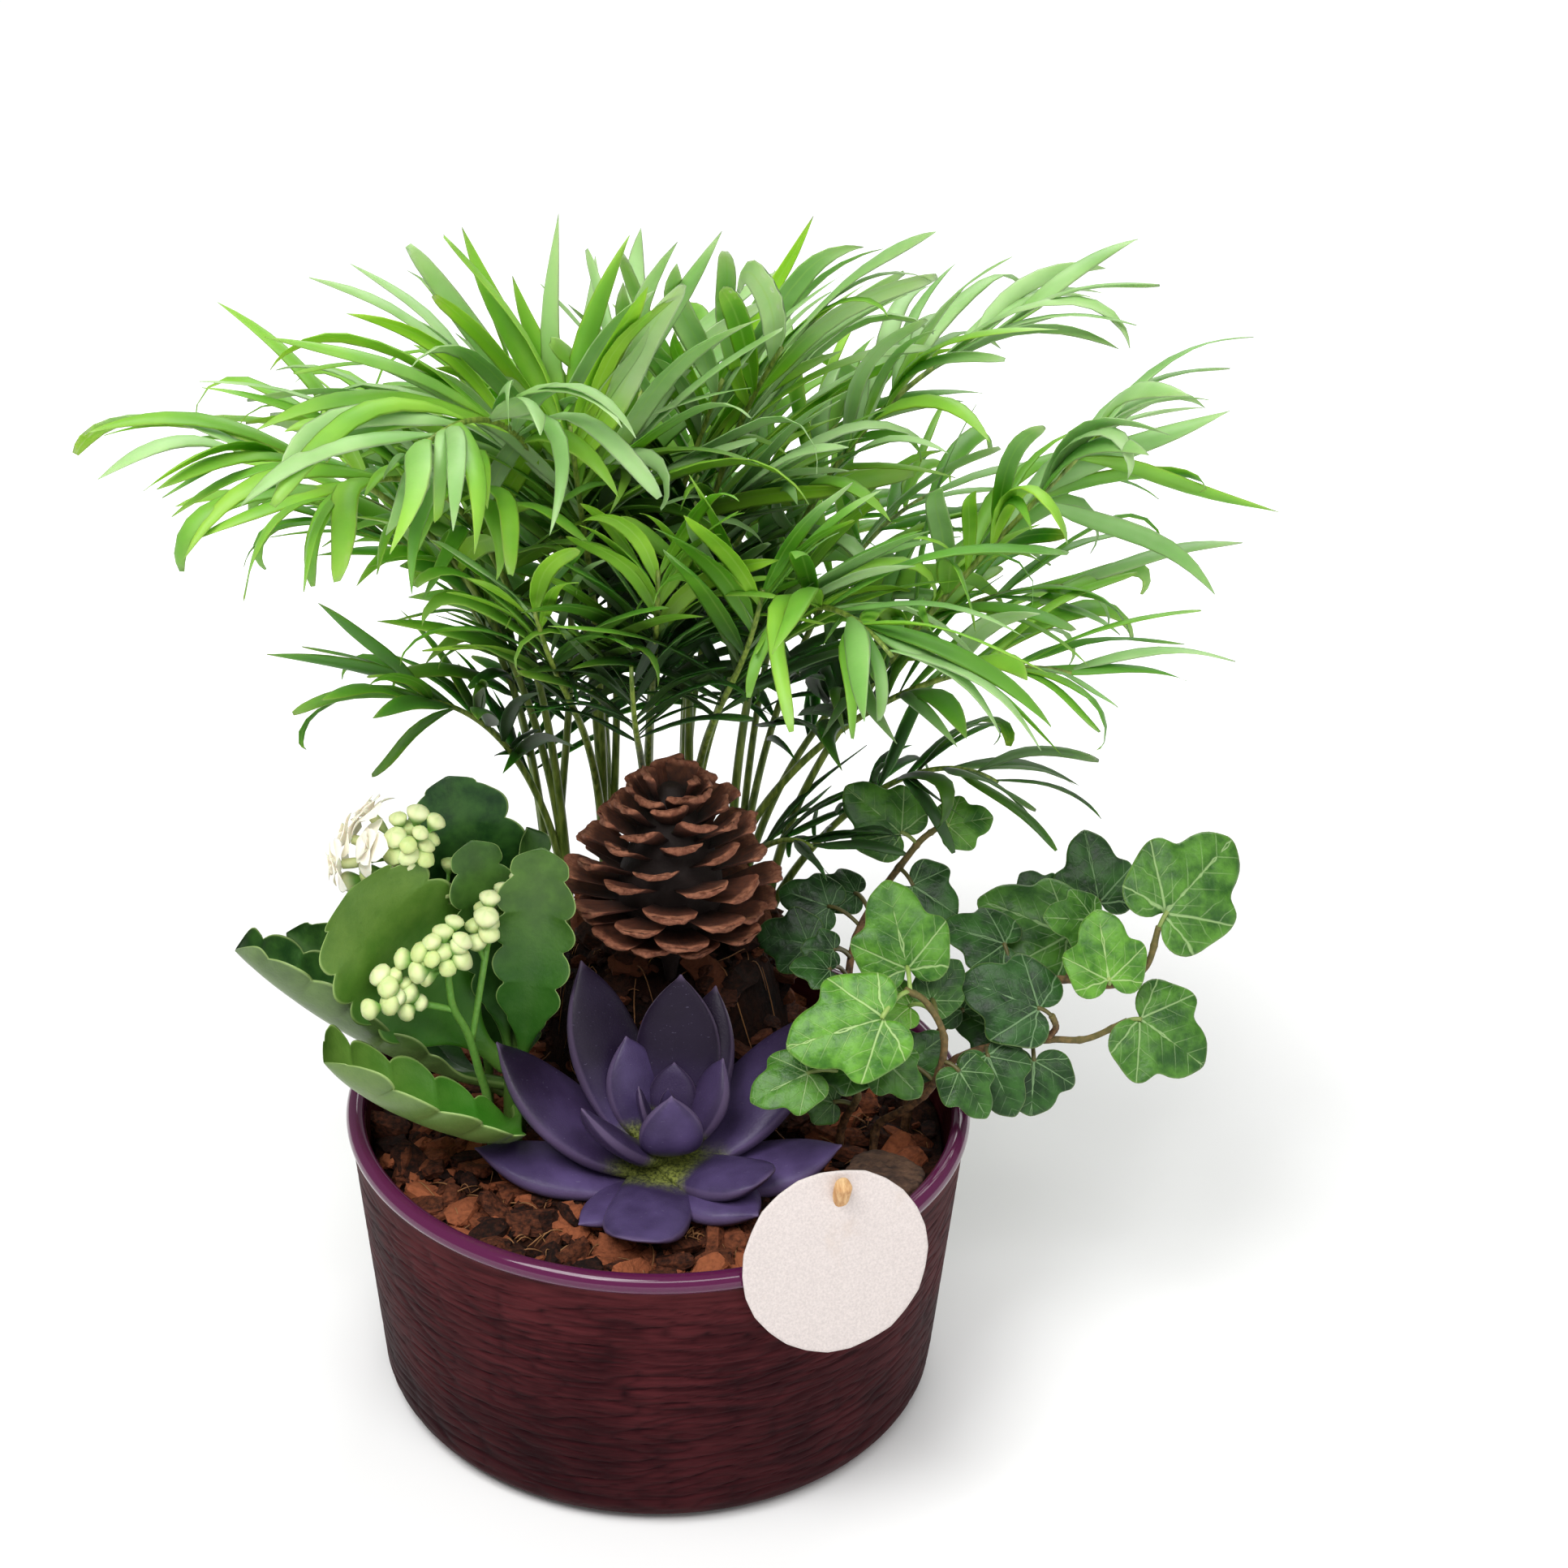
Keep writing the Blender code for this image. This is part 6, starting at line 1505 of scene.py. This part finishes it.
PALM_GREEN = finish("palm_green", palm_green, Specular_IOR_Level=0.4, Subsurface_Weight=0.25,
                    Subsurface_Scale=0.002, Subsurface_Radius=(0.5, 1, 0.3))
PALM_RIB = finish("palm_rib", palm_rib, Roughness=0.42)
for number, ((x, y), fronds) in enumerate(PALM_SHOOTS):
    name = f"palm_shoot_{number + 1}"
    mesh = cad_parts[name].data
    corners = np.empty(len(mesh.vertices) * 3)
    mesh.vertices.foreach_get("co", corners)
    corners = corners.reshape(-1, 3)
    x, y, ground = x * MM, y * MM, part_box(name)[0].z + STEM_DEPTH
    foot = np.array([x, y, ground + RIBS_PART])
    parts, leaflets = [], []
    for order, (tip, pitch, climb, *frond) in enumerate(fronds):
        tries = []
        for shift in RIB_BOWS:
            curve, chords = rib_line(foot, np.array(tip) * MM, pitch, climb, shift * MM)
            miss = np.linalg.norm(corners - chords[RIB_CORNERS[2:4]][:, None], axis=2).min(1)
            tries.append((miss.max(), curve, chords))
        miss, curve, chords = min(tries, key=lambda one: one[0])
        thick = np.interp(range(RIB_STEPS + 1), [0, 12, RIB_STEPS], [1.8, 1.35, 0.7]) * MM
        parts.append((tubes(curve[None], thick[None], 7), 1, {}, True))
        leaflets += frond_leaflets(curve, chords, *frond, Random(number * 10 + order), corners)
        for tip in STRAY_LEAFLETS.get((number, order), []):
            leaflets.append(stray_leaflet(curve, np.array(tip) * MM))
    stack, marks = leaflet_blades(leaflets, np.random.default_rng(number))
    heights = ground + np.array([-14, -6, 0, 4, 8, 12, 14]) * MM
    stem = upright(x, y, heights, np.array([2.6, 2.6, 2.6, 2.4, 2.3, 1.9, 0.6]) * MM, 12)
    parts += [(stem, 1, {}, True), (stack, 0, marks, True)]
    piece(name + "_fronds", parts, [PALM_GREEN, PALM_RIB], "palm_leaf", name)

# Setting: a plain pale floor, soft studio light and the camera at the photograph's height.

CAMERA, CAMERA_PITCH, SENSOR_WIDTH = np.array([0, -661, 532]) * MM, 26.1, 36
# The photograph in pixels: its width, its focal length, and the column that the lens points at.
PHOTO_WIDTH, PHOTO_FOCUS, PHOTO_AXIS = 1932, 3000, 811


def pale_floor(wire):
    """White paper that glows softly further out, as a lit sweep does."""
    place = wire.place()
    reach = place.node("ShaderNodeVectorMath", {"operation": "LENGTH"}, {0: place}, 1)
    shade = place.noise(3).mix(colour(243, 243, 243), colour(248, 248, 247))
    glow = (reach.step(0.16, 1.0) * 0.95).mix((0, 0, 0, 1), (0.75, 0.75, 0.75, 1))
    return {"Base Color": shade, "Emission Color": glow}


def soft_light(name, place, target, size, power):
    """A soft box of the given width and height at place, turned to face target."""
    light = bpy.data.lights.new(name, "AREA")
    light.shape, light.energy = "RECTANGLE", power
    light.size, light.size_y = size
    lamp = bpy.data.objects.new(name, light)
    back = unit(np.array(place, float) - np.array(target, float))
    lamp.location = place
    lamp.rotation_euler = (float(np.arccos(back[2])), 0, float(np.arctan2(back[0], -back[1])))
    bpy.context.scene.collection.objects.link(lamp)


floor_mesh = bpy.data.meshes.new("floor")
floor_mesh.from_pydata([(-6, -6, 0), (6, -6, 0), (6, 6, 0), (-6, 6, 0)], [], [(0, 1, 2, 3)])
floor_mesh.materials.append(finish("pale_floor", pale_floor, Roughness=0.9, Emission_Strength=1))
floor = bpy.data.objects.new("floor", floor_mesh)
floor.location = (0, 0, -0.4 * MM)
bpy.context.scene.collection.objects.link(floor)

world = bpy.data.worlds.new("studio")
world.use_nodes = True
world.node_tree.nodes["Background"].inputs["Color"].default_value = (1, 1, 1, 1)
world.node_tree.nodes["Background"].inputs["Strength"].default_value = 0.32
bpy.context.scene.world = world
soft_light("key", (-0.45, -0.5, 1.35), (0, 0, 0.15), (0.7, 0.7), 14)
soft_light("front", (0.1, -0.75, 1.1), (0, 0, 0.15), (1.1, 0.3), 6)
soft_light("fill", (1.0, -0.9, 0.7), (0, 0, 0.12), (0.9, 0.9), 2)
soft_light("back", (0.3, 0.9, 1.2), (0, 0, 0.2), (0.9, 0.9), 9)

bpy.context.scene.view_settings.view_transform = "Standard"
lens = bpy.data.cameras.new("camera")
lens.sensor_width, lens.clip_start = SENSOR_WIDTH, 0.01
lens.lens = PHOTO_FOCUS / PHOTO_WIDTH * SENSOR_WIDTH
lens.shift_x = (PHOTO_WIDTH / 2 - PHOTO_AXIS) / PHOTO_WIDTH
camera = bpy.data.objects.new("camera", lens)
camera.location = CAMERA
camera.rotation_euler = (radians(90 - CAMERA_PITCH), 0, 0)
bpy.context.scene.collection.objects.link(camera)
bpy.context.scene.camera = camera
